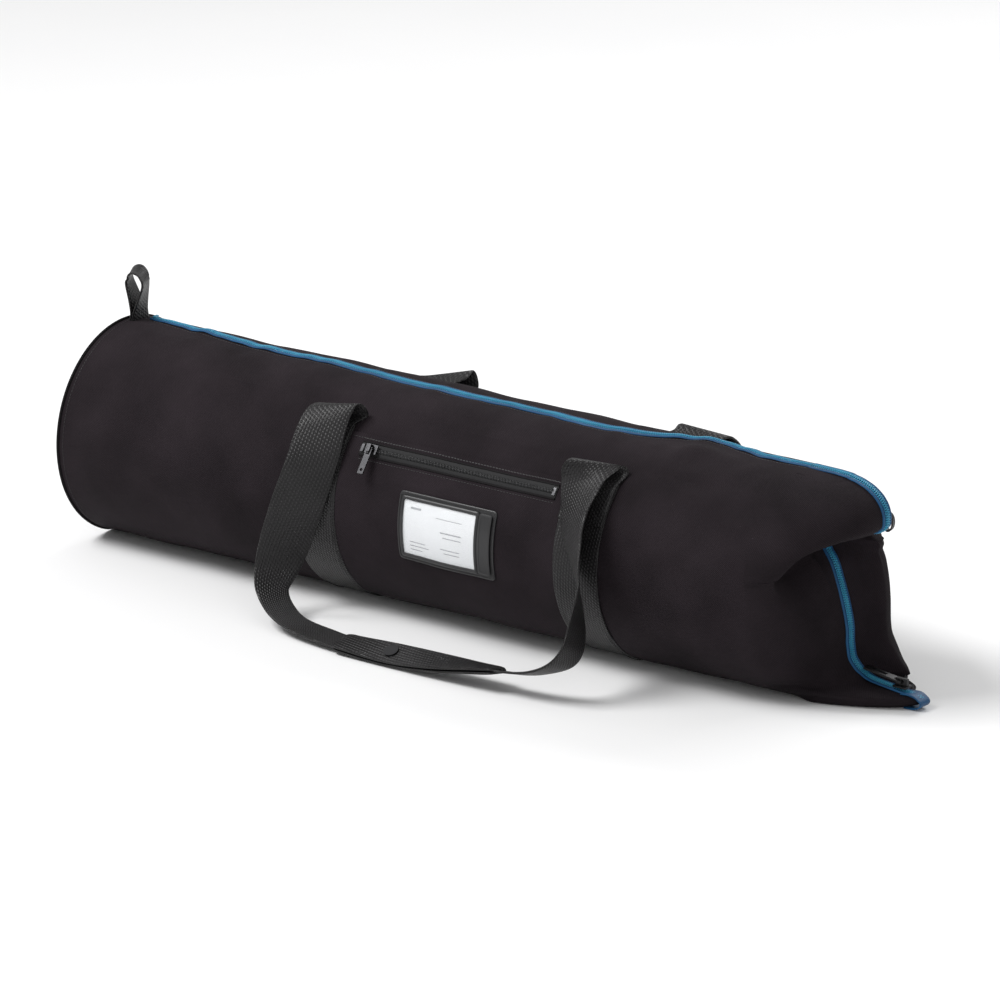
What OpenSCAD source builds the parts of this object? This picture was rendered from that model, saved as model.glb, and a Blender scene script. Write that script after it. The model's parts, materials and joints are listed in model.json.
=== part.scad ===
// Padded tubular carry bag for drawings or a tripod: a round fabric tube lying on its belly,
// closed by a flat padded cap at one end (-X) and by a zipped, buckled prow at the other (+X).
// X runs along the tube, Y across it (-Y is the pocket side), Z is up and z = 0 is the floor.
// Angles round the tube count from the -Y side (0) over the crest (90) to the +Y side (180).

/* [Tube] */
// Outer radius of the padded tube
tube_r = 104; // [100:1:108]
// Height of the tube's axis above the floor
axis_z = 102; // [101:0.5:103]
// X of the closed end's outer face
cap_x = -459; // [-480:1:-440]
// X where the tube ends and the prow begins
prow_x = 335; // [325:1:345]
// Height of the flattened belly above the floor
belly_z = 1.6; // [1.6:0.1:2]

/* [Padding] */
// Outer fabric thickness
shell_t = 1.2; // [1:0.1:1.4]
// Foam thickness
foam_t = 6; // [5:0.5:7]
// Lining thickness
lining_t = 0.8; // [0.6:0.1:1]
// Thickness of the unpadded fabric of the prow
prow_t = 2.4; // [2:0.2:2.8]

/* [Mouth] */
// Angle of the fold line that each top flap swings about
fold_angle = 58; // [56:1:60]
// Y of the main zipper's centre line
zip_y = 12; // [6:1:14]
// X where the flaps begin; towards the cap the top stays sewn
flap_x = -330; // [-360:5:-300]
// Height where the nose is cut free of the prow under it
tuck_z = 140; // [139:1:141]

/* [Zipper] */
// Width of the tape beside each row of coil
tape_w = 6; // [5:0.5:7]
// Tape thickness
tape_t = 0.8; // [0.6:0.1:1]
// Width of one row of coil
coil_w = 2.6; // [2.2:0.2:3]
// Height of the coil above the tape
coil_h = 1.6; // [1.4:0.1:1.8]

/* [Webbing] */
// Webbing width
web_w = 50; // [48:1:52]
// Thickness of a band lying on the tube
band_t = 1.5; // [1.2:0.1:1.5]
// Thickness of a handle strap
strap_t = 2.2; // [1.8:0.1:2.4]
// X of the left band and handle leg
left_band_x = -146; // [-150:1:-142]
// X of the right band and handle leg
right_band_x = 157; // [153:1:160]
// Lowest angle of the stitched box that holds a handle leg
box_low = 24; // [22:1:26]
// Highest angle of the stitched box
box_high = 47; // [45:1:48]
// Distance of a handle's fold from the centre plane
fold_y = 66; // [65:1:67]
// Height of a handle's fold
fold_z = 195; // [194:1:196]
// Width of the folded grip
grip_w = 27; // [25:1:28]
// Thickness of the folded grip
grip_t = 6; // [5:0.5:6.5]

/* [Pocket and card holder] */
// Lowest angle of the pocket panel
pocket_low = -58; // [-60:1:-50]
// Highest angle of the pocket panel
pocket_high = 44; // [42:1:45]
// Angle of the pocket zipper
pocket_zip_angle = 36; // [35:1:37]
// X of the pocket zipper's left end
pocket_zip_x = -104; // [-106:1:-100]
// Length of the pocket zipper
pocket_zip_len = 226; // [215:1:228]
// X of the card holder's left edge
holder_x = -46; // [-50:1:-42]
// Length of the card holder
holder_len = 111; // [108:1:114]
// Lowest angle of the card holder
holder_low = -16; // [-18:1:-14]
// Highest angle of the card holder
holder_high = 20; // [18:1:21]
// Length of the name card
card_len = 86; // [84:1:88]

/* [Hidden] */
$fn = 96;
far = 400;
gap = 0.2;
tube_x = cap_x + shell_t;
wall_t = shell_t + foam_t + lining_t;
foam_in = shell_t + foam_t;
bead_r = 2.5;
black = [0.16, 0.15, 0.16];
foam_grey = [0.35, 0.35, 0.36];
web_grey = [0.25, 0.25, 0.26];
zip_blue = [0.12, 0.43, 0.65];
metal = [0.3, 0.3, 0.32];

// The prow's outline in the zipper's plane, [height, x] from the floor up: the flat toe, the
// upright ridge, the tuck under the nose and the rounded nose.
prow_line = [
    [0.4, 444], [5, 455], [9, 457], [12, 450], [14, 432], [17, 408], [22, 394], [30, 384], [45, 379],
    [62, 378], [84, 373], [105, 366], [122, 359], [132, 352], [140, 349], [147, 360], [154, 386],
    [159, 408], [163, 414], [170, 416], [178, 415], [186, 411], [193, 404], [199, 394], [203, 381],
    [205.2, 366], [205.9, 352]
];
// How boxy each height of the prow is in plan, from an ellipse at the toe to a blunt nose
prow_power = [[0, 2], [60, 2.4], [150, 2.8], [206, 2.6]];
// How far the nose's lip droops towards the sides
lip_droop = 20;
prow_cols = 24;

// A handle leg's centre line: distance out from the fold and height below it, then how far along X
// it has strayed, its width, and the direction that its width points in.
leg_drop = [
    [3.3, -3.3], [12, -12], [34, -36], [52, -70], [64, -105], [74, -140], [86, -167], [97, -180], [105, -185]
];
leg_width = [50, 50, 50, 50, 50, 50, 46, 36, 27];
left_leg_run = [0, 0, 0, 0, 0, -3, 2, 14, 34];
left_leg_turn = [
    [1, 0, 0], [1, 0.05, 0], [1, 0.2, 0], [1, 0.4, 0], [1, 0.5, 0], [1, 0.6, 0], [0.7, 0.8, 0.1],
    [0.3, 0.9, 0.3], [0, 0.9, 0.43]
];
right_leg_run = [0, 0, 4, 9, 13, 14, 6, -14, -38];
right_leg_turn = [
    [-1, 0, 0], [-1, 0.05, 0], [-1, 0.15, 0], [-1, 0.4, 0], [-1, 0.7, 0], [-1, 0.8, 0],
    [-0.7, 0.8, 0.1], [-0.3, 0.9, 0.3], [0, 0.9, 0.43]
];
grip_sag = [[0, 0], [0.25, 3], [0.5, 2], [0.75, -3], [1, -8]];
grip_tilt = [0, 0.9, 0.43];

// ---------- geometry helpers ----------

// Extrudes a (Y, Z) outline along X from x0 to x1
module along_x(x0, x1) {
    translate([x0, 0, 0]) rotate([90, 0, 90]) linear_extrude(x1 - x0) children();
}

// Extrudes an (X, Z) outline along Y from y0 to y1
module along_y(y0, y1) {
    translate([0, y1, 0]) rotate([90, 0, 0]) linear_extrude(y1 - y0) children();
}

// Puts children on the tube: local Z points out of the surface and local Y up round it
module on_tube(x, angle, r) {
    translate([x, -r * cos(angle), axis_z + r * sin(angle)]) rotate([90 - angle, 0, 0]) children();
}

// The tube's section with its flattened belly, shrunk by inset
module section2d(inset) {
    intersection() {
        translate([0, axis_z]) circle(tube_r - inset);
        translate([-far / 2, belly_z + inset]) square([far, far]);
    }
}

module wall2d(outer, inner) {
    difference() {
        section2d(outer);
        section2d(inner);
    }
}

// The wedge of the section between two angles less than 180 apart
module wedge2d(low, high) {
    middle = (low + high) / 2;
    polygon([
        [0, axis_z],
        [-far * cos(low), axis_z + far * sin(low)],
        [-far * cos(middle), axis_z + far * sin(middle)],
        [-far * cos(high), axis_z + far * sin(high)]
    ]);
}

// A strip that lies on the tube between two radii and two angles
module strip2d(r0, r1, low, high) {
    intersection() {
        difference() {
            translate([0, axis_z]) circle(r1);
            translate([0, axis_z]) circle(r0);
        }
        wedge2d(low, high);
    }
}

// The parts of the top wedge on either side of the zipper's plane
module front_mouth2d() {
    intersection() {
        wedge2d(fold_angle + 0.1, 180 - fold_angle - 0.1);
        translate([zip_y - gap - far, axis_z + 20]) square([far, far]);
    }
}

module rear_mouth2d() {
    intersection() {
        wedge2d(fold_angle + 0.1, 180 - fold_angle - 0.1);
        translate([zip_y + gap, axis_z + 20]) square([far, far]);
    }
}

// The normals of a planar line, and the thick line between two offsets from it
function line_normal(p, i) =
    let (a = p[max(i - 1, 0)], b = p[min(i + 1, len(p) - 1)], d = (b - a) / norm(b - a))
    [-d[1], d[0]];

function offset_line(p, d) = [for (i = [0 : len(p) - 1]) p[i] + d * line_normal(p, i)];

module thick_line2d(p, d0, d1) {
    low = offset_line(p, d0);
    high = offset_line(p, d1);
    polygon(concat(high, [for (i = [len(low) - 1 : -1 : 0]) low[i]]));
}

// Closed skin over equal rings of points, capped at both ends
module skin(rings) {
    n = len(rings[0]);
    rows = len(rings);
    points = [for (ring = rings) for (p = ring) p];
    sides = [
        for (i = [0 : rows - 2]) for (j = [0 : n - 1])
            let (k = (j + 1) % n, a = i * n, b = (i + 1) * n)
            for (tri = [[a + j, b + k, a + k], [a + j, b + j, b + k]]) tri
    ];
    first = [for (j = [1 : n - 2]) [0, j, j + 1]];
    last = [for (j = [1 : n - 2]) [(rows - 1) * n, (rows - 1) * n + j + 1, (rows - 1) * n + j]];
    polyhedron(points, concat(sides, first, last));
}

// Keeps a smooth skin and its cuts together as one mesh; a resize to zero changes no size
module one_mesh() {
    resize([0, 0, 0]) children();
}

// ---------- prow ----------

function prow_reach(z) = lookup(z, prow_line);
function eroded_reach(z, t) =
    t == 0 ? prow_reach(z) : min(prow_reach(z), prow_reach(z - t), prow_reach(z + t)) - t / 2;
function half_width(z, t) = sqrt(max(pow(tube_r - t, 2) - pow(z - axis_z, 2), 0.01));
function droop(z) = lip_droop * exp(-pow((z - tuck_z - 8) / 22, 2));

// One point of the prow's skin: v runs across from -1 to 1, t is the inset
function prow_point(z, v, t) =
    let (
        low = z - droop(z) * pow(abs(v), 3),
        power = lookup(z, prow_power),
        out = pow(max(1 - pow(abs(v), power), 0), 1 / power),
        x0 = prow_x - t,
        reach = (eroded_reach(z, t) - x0) * out
    )
    [x0 + reach, half_width(low, t) * v + zip_y * out * (1 - abs(v)), low];

module prow_solid(t) {
    low = prow_line[0][0] + t;
    high = prow_line[len(prow_line) - 1][0] - t;
    heights = [low, for (p = prow_line) if (p[0] > low + 0.5 && p[0] < high - 0.5) p[0], high];
    skin([
        for (z = heights)
            [for (j = [0 : prow_cols]) prow_point(z, sin(90 * (2 * j / prow_cols - 1)), t)]
    ]);
}

module prow_skin() {
    difference() {
        prow_solid(0);
        prow_solid(prow_t);
    }
}

// A prism over the tuck: from the fold line's plane on one side to the plane y = edge
module nose_prism(side, angle, edge, floor_z) {
    run = (floor_z - axis_z) / tan(angle);
    along_x(prow_x - 5, prow_x + far / 2) polygon([
        [side * run, floor_z],
        [edge, floor_z],
        [edge, axis_z + far],
        [side * far * cos(angle), axis_z + far * sin(angle)]
    ]);
}

// ---------- zipper lines ----------

crest_z = axis_z + tube_r + 0.05;
nose_line = concat(
    [[flap_x + gap, crest_z], [prow_x + 5, crest_z]],
    [for (i = [len(prow_line) - 1 : -1 : 18]) [prow_line[i][1], prow_line[i][0] + 0.05]]
);
ridge_line = [for (i = [13 : -1 : 2]) [prow_line[i][1] + 0.3, prow_line[i][0]]];
sleeve_line = [[tube_x + 18, crest_z], [flap_x - gap, crest_z]];

// One tape or one row of coil along a zipper line, on the front (-1) or rear (+1) side
module tape(line, side) {
    y0 = side < 0 ? zip_y - gap - tape_w : zip_y + gap;
    along_y(y0, y0 + tape_w) thick_line2d(line, 0, tape_t);
}

module coil(line, side) {
    y0 = side < 0 ? zip_y - gap - coil_w : zip_y + gap;
    along_y(y0, y0 + coil_w) thick_line2d(line, tape_t, tape_t + coil_h);
}

// ---------- straps ----------

function spline(p, s) =
    let (n = len(p) - 1, k = min(floor(s), n - 1), u = s - k,
         a = p[max(k - 1, 0)], b = p[k], c = p[k + 1], d = p[min(k + 2, n)])
    0.5 * ((2 * b) + (c - a) * u + (2 * a - 5 * b + 4 * c - d) * u * u + (3 * b - a - 3 * c + d) * u * u * u);

function unit(v) = v / norm(v);

// A rectangular ring of a strap at parameter s of its centre, width and turn lists
function strap_ring(centre, width, turn, thick, s) =
    let (
        p = spline(centre, s),
        step = 0.05,
        t = unit(spline(centre, min(s + step, len(centre) - 1)) - spline(centre, max(s - step, 0))),
        raw = spline(turn, s),
        w = unit(raw - t * (raw * t)) * spline(width, s) / 2,
        n = unit(cross(t, w)) * thick / 2
    )
    [p - w - n, p + w - n, p + w + n, p - w + n];

module strap(centre, width, turn, thick, steps) {
    last = len(centre) - 1;
    skin([for (i = [0 : steps]) strap_ring(centre, width, turn, thick, i * last / steps)]);
}

function leg_centre(x, run) =
    [for (i = [0 : len(leg_drop) - 1]) [x + run[i], -fold_y - leg_drop[i][0], fold_z + leg_drop[i][1]]];

left_leg = leg_centre(left_band_x, left_leg_run);
right_leg = leg_centre(right_band_x, right_leg_run);
grip_from = left_leg[len(left_leg) - 1];
grip_to = right_leg[len(right_leg) - 1];
grip_line = [
    for (g = grip_sag) grip_from + (grip_to - grip_from) * g[0] - [0, g[1] + 8 * g[0], 0]
];

module handle_legs() {
    strap(left_leg, leg_width, left_leg_turn, strap_t, 24);
    strap(right_leg, leg_width, right_leg_turn, strap_t, 24);
}

module handle_grip() {
    last = len(grip_line) - 1;
    line = concat([grip_from], [for (i = [1 : last - 1]) grip_line[i]], [grip_to]);
    strap(line, [for (p = line) grip_w], [for (p = line) grip_tilt], grip_t, 14);
}

module grip_snap() {
    middle = grip_line[2];
    lean = atan2(grip_tilt[2], grip_tilt[1]);
    translate(middle) rotate([lean, 0, 0]) translate([0, 0, grip_t / 2]) cylinder(r = 7, h = 2);
}

// ---------- sub-parts of the trunk ----------

module belly_layer(outer, inner) {
    along_x(tube_x, prow_x) difference() {
        wall2d(outer, inner);
        wedge2d(fold_angle - 0.1, 180 - fold_angle + 0.1);
    }
}

module sleeve_layer(outer, inner) {
    along_x(tube_x, flap_x - gap) intersection() {
        wall2d(outer, inner);
        wedge2d(fold_angle - 0.1, 180 - fold_angle + 0.1);
    }
}

module belly_shell() {
    color(black) belly_layer(0, shell_t);
}

module belly_foam() {
    color(foam_grey) belly_layer(shell_t, foam_in);
}

module belly_lining() {
    color(black) belly_layer(foam_in, wall_t);
}

module sleeve_shell() {
    color(black) sleeve_layer(0, shell_t);
}

module sleeve_foam() {
    color(foam_grey) sleeve_layer(shell_t, foam_in);
}

module sleeve_lining() {
    color(black) sleeve_layer(foam_in, wall_t);
}

module end_cap_shell() {
    color(black) along_x(cap_x, tube_x) section2d(0);
}

module end_cap_foam() {
    color(foam_grey) along_x(tube_x, tube_x + foam_t) section2d(wall_t);
}

module end_cap_lining() {
    color(black) along_x(tube_x + foam_t, tube_x + foam_t + lining_t) section2d(wall_t);
}

// The piping that binds the cap to the tube, flat where it meets the floor
module end_cap_piping() {
    proud = 2.6;
    color(black) along_x(cap_x - 0.8, cap_x + 2.4) difference() {
        intersection() {
            translate([0, axis_z]) circle(tube_r + proud);
            translate([-far / 2, 0]) square([far, far]);
        }
        section2d(0);
    }
}

module prow_shell() {
    color(black) one_mesh() difference() {
        prow_skin();
        for (side = [-1, 1]) nose_prism(side, fold_angle - 0.1, zip_y, tuck_z - gap);
    }
}

// A short loop of narrow webbing sewn into the cap's seam
module haul_loop() {
    loop_w = 25;
    loop_r = 11;
    top_z = crest_z + 36;
    foot_x = cap_x + 10;
    color(web_grey) along_y(zip_y - 4 - loop_w / 2, zip_y - 4 + loop_w / 2) difference() {
        union() {
            translate([foot_x, top_z]) circle(loop_r, $fn = 48);
            polygon([
                [foot_x - 4, crest_z], [foot_x + 4, crest_z],
                [foot_x + loop_r, top_z], [foot_x - loop_r, top_z]
            ]);
        }
        translate([foot_x, top_z]) circle(loop_r - strap_t, $fn = 48);
        polygon([
            [foot_x - 1.6, crest_z + 6], [foot_x + 1.6, crest_z + 6],
            [foot_x + loop_r - strap_t, top_z], [foot_x - loop_r + strap_t, top_z]
        ]);
    }
}

// A webbing band under the belly, from one handle's stitched box to the other's
module band(x) {
    r0 = tube_r + 0.05;
    along_x(x - web_w / 2, x + web_w / 2) difference() {
        intersection() {
            translate([0, axis_z]) circle(r0 + band_t);
            translate([-far / 2, 0]) square([far, far]);
        }
        intersection() {
            translate([0, axis_z]) circle(r0);
            translate([-far / 2, band_t]) square([far, far]);
        }
        wedge2d(box_high, 180 - box_high);
    }
}

module left_band() {
    color(web_grey) band(left_band_x);
}

module right_band() {
    color(web_grey) band(right_band_x);
}

// The stitched end of a handle leg and its riser up to the fold
module strap_anchor(x) {
    r0 = tube_r + band_t + 0.1;
    foot = [-(r0 + band_t) * cos(box_high), axis_z + (r0 + band_t) * sin(box_high)];
    along_x(x - web_w / 2, x + web_w / 2) {
        strip2d(r0, r0 + band_t, box_low, box_high + 0.5);
        thick_line2d([foot, [-fold_y, fold_z]], -band_t, 0);
        translate([-fold_y, fold_z]) circle(bead_r, $fn = 32);
    }
}

module front_strap_anchors() {
    color(web_grey) for (x = [left_band_x, right_band_x]) strap_anchor(x);
}

module rear_strap_anchors() {
    color(web_grey) mirror([0, 1, 0]) for (x = [left_band_x, right_band_x]) strap_anchor(x);
}

module sleeve_zip_tapes() {
    color(zip_blue) for (side = [-1, 1]) tape(sleeve_line, side);
}

module sleeve_zip_coils() {
    color(zip_blue) for (side = [-1, 1]) coil(sleeve_line, side);
}

// A bar across both rows where the zipper starts
module zip_top_stop() {
    stop_l = 4;
    color(zip_blue) translate([tube_x + 17, zip_y - coil_w - 1, crest_z + tape_t + coil_h])
        cube([stop_l, 2 * coil_w + 2, 0.8]);
}

module prow_zip_tapes() {
    color(zip_blue) for (side = [-1, 1]) tape(ridge_line, side);
}

module prow_zip_coils() {
    color(zip_blue) for (side = [-1, 1]) coil(ridge_line, side);
}

// The folded fabric tab that ends the zipper on the toe
module zip_bottom_stop() {
    tab_l = 10;
    color(zip_blue) translate([prow_reach(9) - 7, zip_y - tape_w - 2, 0.5])
        difference() {
            cube([tab_l, 2 * tape_w + 4, 15.5]);
            translate([-1, -1, 1]) cube([tab_l, 2 * tape_w + 6, 12.8]);
        }
}

slider_x = 436;
slider_z = 17.5;
pivot_z = slider_z + 5;

// Slider body with its wings, the groove for the coil and the bridge that holds the puller
module main_slider() {
    body_l = 14;
    body_w = 11;
    color(metal) translate([slider_x, zip_y, slider_z]) {
        translate([-body_l / 2, -body_w / 2, 0]) cube([body_l, body_w, 1.6]);
        translate([0, 0, 3.4]) difference() {
            translate([-body_l / 2 + 1, -1.6, -1.8]) cube([body_l - 2, 3.2, 6.6]);
            translate([0, 3, 1.6]) rotate([90, 0, 0]) cylinder(r = 2.2, h = 6, $fn = 24);
        }
    }
}

// Long puller: an eye round the bridge, a neck and a flat bar with a slot in its end
module main_puller() {
    pull_l = 40;
    lean = 8;
    color(metal) translate([slider_x, zip_y, pivot_z]) rotate([0, lean, 0]) {
        translate([0, 3.4, 0]) rotate([90, 0, 0]) cylinder(r = 1.6, h = 6.8, $fn = 32);
        for (side = [-1, 1]) translate([-9, side * 3.4 - 0.8, -0.9]) cube([10, 1.6, 1.8]);
        difference() {
            translate([-pull_l, -4.2, -0.9]) cube([pull_l - 8, 8.4, 1.8]);
            translate([-pull_l + 7, -1.8, -3]) cube([16, 3.6, 6]);
        }
    }
}

// ---------- pocket ----------

module pocket_panel() {
    left = left_band_x + web_w / 2 + 0.3;
    right = right_band_x - web_w / 2 - 0.3;
    color(black) along_x(left, right)
        strip2d(tube_r + 0.05, tube_r + 0.95, pocket_low, pocket_high);
}

pocket_r = tube_r + 1;

module pocket_zip_tape() {
    half = 3.9;
    color(black) along_x(pocket_zip_x, pocket_zip_x + pocket_zip_len)
        strip2d(pocket_r, pocket_r + tape_t, pocket_zip_angle - half, pocket_zip_angle + half);
}

module pocket_zip_coil() {
    half = 1.3;
    r0 = pocket_r + tape_t;
    color(black) along_x(pocket_zip_x + 5, pocket_zip_x + pocket_zip_len - 5)
        strip2d(r0, r0 + coil_h, pocket_zip_angle - half, pocket_zip_angle + half);
}

module pocket_end_stops() {
    half = 2;
    r0 = pocket_r + tape_t;
    color(metal) for (x = [pocket_zip_x + 1, pocket_zip_x + pocket_zip_len - 4])
        along_x(x, x + 3)
            strip2d(r0, r0 + 1.5, pocket_zip_angle - half, pocket_zip_angle + half);
}

pocket_slider_x = pocket_zip_x + 14;
pocket_slider_r = pocket_r + tape_t + coil_h + 0.4;
pocket_pivot_r = pocket_slider_r + 3.6;

module pocket_slider() {
    color(metal) on_tube(pocket_slider_x, pocket_zip_angle, pocket_slider_r) {
        translate([-6.5, -4.5, 0]) cube([13, 9, 1.4]);
        difference() {
            translate([-1.5, -3.6, 1.4]) cube([3, 7.2, 4.4]);
            translate([-3, 0, 3.6]) rotate([0, 90, 0]) cylinder(r = 1.6, h = 6, $fn = 24);
        }
    }
}

// Short puller hanging down the pocket from the slider's bridge
module pocket_puller() {
    pull_l = 26;
    color(metal) on_tube(pocket_slider_x, pocket_zip_angle, pocket_pivot_r) {
        translate([-3.2, 0, 0]) rotate([0, 90, 0]) cylinder(r = 1.1, h = 6.4, $fn = 24);
        for (side = [-1, 1]) translate([side * 2.6 - 0.6, -7, -0.6]) cube([1.2, 7.5, 1.2]);
        difference() {
            translate([-3.2, -pull_l, -0.6]) cube([6.4, pull_l - 6.5, 1.2]);
            translate([0, -pull_l + 4, -2]) cylinder(r = 1.5, h = 4, $fn = 24);
        }
    }
}

// ---------- card holder ----------

holder_r = tube_r + 1.1;

module card_holder_back() {
    color(black) along_x(holder_x, holder_x + holder_len)
        strip2d(holder_r, holder_r + 0.6, holder_low, holder_high);
}

// The raised rim, open over the window, with a channel that lets the card slide out to the right
module card_holder_frame() {
    rim = 3.4;
    bar_x = holder_x + holder_len - 22;
    r0 = holder_r + 0.6;
    color(black) {
        along_x(holder_x, holder_x + holder_len) {
            strip2d(r0, r0 + 2.6, holder_low, holder_low + rim);
            strip2d(r0, r0 + 2.6, holder_high - rim, holder_high);
        }
        along_x(holder_x, holder_x + 6)
            strip2d(r0, r0 + 2.6, holder_low + rim, holder_high - rim);
        along_x(bar_x, holder_x + holder_len)
            strip2d(r0 + 1, r0 + 2.2, holder_low + rim, holder_high - rim);
    }
}

module card_holder_window() {
    rim = 3.5;
    r0 = holder_r + 1.7;
    color([0.85, 0.88, 0.9, 0.35]) along_x(holder_x + 6.1, holder_x + holder_len - 22.2)
        strip2d(r0, r0 + 0.4, holder_low + rim, holder_high - rim);
}

module name_card() {
    rim = 3.9;
    r0 = holder_r + 0.9;
    color([0.95, 0.95, 0.93]) along_x(holder_x + 6.6, holder_x + 6.6 + card_len)
        strip2d(r0, r0 + 0.35, holder_low + rim, holder_high - rim);
}

// ---------- flaps ----------

module front_layer(outer, inner) {
    along_x(flap_x + gap, prow_x) intersection() {
        wall2d(outer, inner);
        front_mouth2d();
    }
}

module rear_layer(outer, inner) {
    along_x(flap_x + gap, prow_x) intersection() {
        wall2d(outer, inner);
        rear_mouth2d();
    }
}

module front_flap_shell() {
    color(black) front_layer(0, shell_t);
}

module front_flap_foam() {
    color(foam_grey) front_layer(shell_t, foam_in);
}

module front_flap_lining() {
    color(black) front_layer(foam_in, wall_t);
}

module front_nose() {
    color(black) one_mesh() intersection() {
        prow_skin();
        nose_prism(-1, fold_angle + 0.1, zip_y - gap, tuck_z + gap);
    }
}

module front_zip_tape() {
    color(zip_blue) tape(nose_line, -1);
}

module front_zip_coil() {
    color(zip_blue) coil(nose_line, -1);
}

module rear_flap_shell() {
    color(black) rear_layer(0, shell_t);
}

module rear_flap_foam() {
    color(foam_grey) rear_layer(shell_t, foam_in);
}

module rear_flap_lining() {
    color(black) rear_layer(foam_in, wall_t);
}

module rear_nose() {
    color(black) one_mesh() intersection() {
        prow_skin();
        nose_prism(1, fold_angle + 0.1, zip_y + gap, tuck_z + gap);
    }
}

module rear_zip_tape() {
    color(zip_blue) tape(nose_line, 1);
}

module rear_zip_coil() {
    color(zip_blue) coil(nose_line, 1);
}

// A folded tab of tape to hold while the zipper is pulled, beside it on the nose
module nose_tab() {
    tab_z = 176;
    tab_y = zip_y + gap + tape_w + 1;
    color(black) along_y(tab_y, tab_y + 8) difference() {
        translate([prow_reach(tab_z) - 1, tab_z]) circle(7, $fn = 32);
        translate([prow_reach(tab_z) + 1, tab_z]) circle(1.6, $fn = 32);
        translate([prow_reach(tab_z) - 20, tab_z - 20]) square([21.4, 40]);
    }
}

// ---------- handles ----------

module front_handle_legs() {
    color(web_grey) handle_legs();
}

module front_handle_grip() {
    color(web_grey) handle_grip();
}

module front_grip_snap() {
    color(metal) grip_snap();
}

module rear_handle_legs() {
    color(web_grey) mirror([0, 1, 0]) handle_legs();
}

module rear_handle_grip() {
    color(web_grey) mirror([0, 1, 0]) handle_grip();
}

module rear_grip_snap() {
    color(metal) mirror([0, 1, 0]) grip_snap();
}

belly_shell();
belly_foam();
belly_lining();
sleeve_shell();
sleeve_foam();
sleeve_lining();
end_cap_shell();
end_cap_foam();
end_cap_lining();
end_cap_piping();
prow_shell();
haul_loop();
left_band();
right_band();
front_strap_anchors();
rear_strap_anchors();
sleeve_zip_tapes();
sleeve_zip_coils();
zip_top_stop();
prow_zip_tapes();
prow_zip_coils();
zip_bottom_stop();
main_slider();
main_puller();
pocket_panel();
pocket_zip_tape();
pocket_zip_coil();
pocket_end_stops();
pocket_slider();
pocket_puller();
card_holder_back();
card_holder_frame();
card_holder_window();
name_card();
front_flap_shell();
front_flap_foam();
front_flap_lining();
front_nose();
front_zip_tape();
front_zip_coil();
rear_flap_shell();
rear_flap_foam();
rear_flap_lining();
rear_nose();
rear_zip_tape();
rear_zip_coil();
nose_tab();
front_handle_legs();
front_handle_grip();
front_grip_snap();
rear_handle_legs();
rear_handle_grip();
rear_grip_snap();
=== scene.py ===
"""The looks of the padded tube bag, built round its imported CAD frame. Lengths are in metres.

X runs along the tube from the flat cap to the zipped prow, -Y is the pocket side and Z is up.
Angles are in degrees round the tube: 0 on the pocket side, 90 at the crest, 180 on the far side.
"""

import json
import math

import bmesh
import bpy
import numpy as np
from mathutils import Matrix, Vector


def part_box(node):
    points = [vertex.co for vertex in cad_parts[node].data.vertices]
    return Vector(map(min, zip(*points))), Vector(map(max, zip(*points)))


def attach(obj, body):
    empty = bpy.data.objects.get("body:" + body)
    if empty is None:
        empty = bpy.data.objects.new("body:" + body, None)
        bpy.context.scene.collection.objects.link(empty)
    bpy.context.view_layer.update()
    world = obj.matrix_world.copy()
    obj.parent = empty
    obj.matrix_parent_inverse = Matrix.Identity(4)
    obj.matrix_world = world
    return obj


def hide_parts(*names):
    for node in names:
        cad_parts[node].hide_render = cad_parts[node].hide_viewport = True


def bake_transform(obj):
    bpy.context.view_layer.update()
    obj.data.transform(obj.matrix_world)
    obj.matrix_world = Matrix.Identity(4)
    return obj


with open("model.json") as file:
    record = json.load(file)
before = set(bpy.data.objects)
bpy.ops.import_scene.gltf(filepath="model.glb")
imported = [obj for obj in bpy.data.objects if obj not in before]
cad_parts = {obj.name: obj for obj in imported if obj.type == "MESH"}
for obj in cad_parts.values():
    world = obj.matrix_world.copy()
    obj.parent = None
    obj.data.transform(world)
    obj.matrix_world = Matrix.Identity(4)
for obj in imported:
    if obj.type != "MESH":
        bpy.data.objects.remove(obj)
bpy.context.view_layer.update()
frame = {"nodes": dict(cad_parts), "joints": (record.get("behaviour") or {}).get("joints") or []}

MM = 0.001

# ---------- places taken from the frame ----------


def low(node):
    return np.array(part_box(node)[0])


def high(node):
    return np.array(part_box(node)[1])


def middle(node):
    return (low(node) + high(node)) / 2


TUBE_X, PROW_X = low("belly_shell")[0], high("belly_shell")[0]
TUBE_R = high("belly_shell")[1]
BELLY_Z = low("belly_shell")[2]
AXIS_Z = high("sleeve_shell")[2] - TUBE_R
ZIP_Y = middle("main_slider")[1]
BAND_X = {"left": middle("left_band")[0], "right": middle("right_band")[0]}
BAND_HALF = (high("left_band")[0] - low("left_band")[0]) / 2
HINGE = {j["name"]: j["pos_m"] for j in frame["joints"] if j["type"] == "hinge"}
HANDLE_FOLD = np.array(HINGE["front_handle_swing"])
POCKET = (low("pocket_panel"), high("pocket_panel"))
POCKET_ZIP = (low("pocket_zip_tape")[0], high("pocket_zip_tape")[0])
HOLDER = (low("card_holder_frame")[0], high("card_holder_frame")[0])
WINDOW = (low("card_holder_window")[0], high("card_holder_window")[0])
CARD = (low("name_card")[0], high("name_card")[0])
SLEEVE_ZIP_X = low("sleeve_zip_tapes")[0]

# ---------- design values ----------

WALL = 8 * MM
LINED = 2.4 * MM
FOLD_ANGLE = 58
# Where the mouth is fully open: past OPENING_END, and up to NOSE_START
OPENING_START, OPENING_END, NOSE_START = -0.45, -0.29, 0.17
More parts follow.
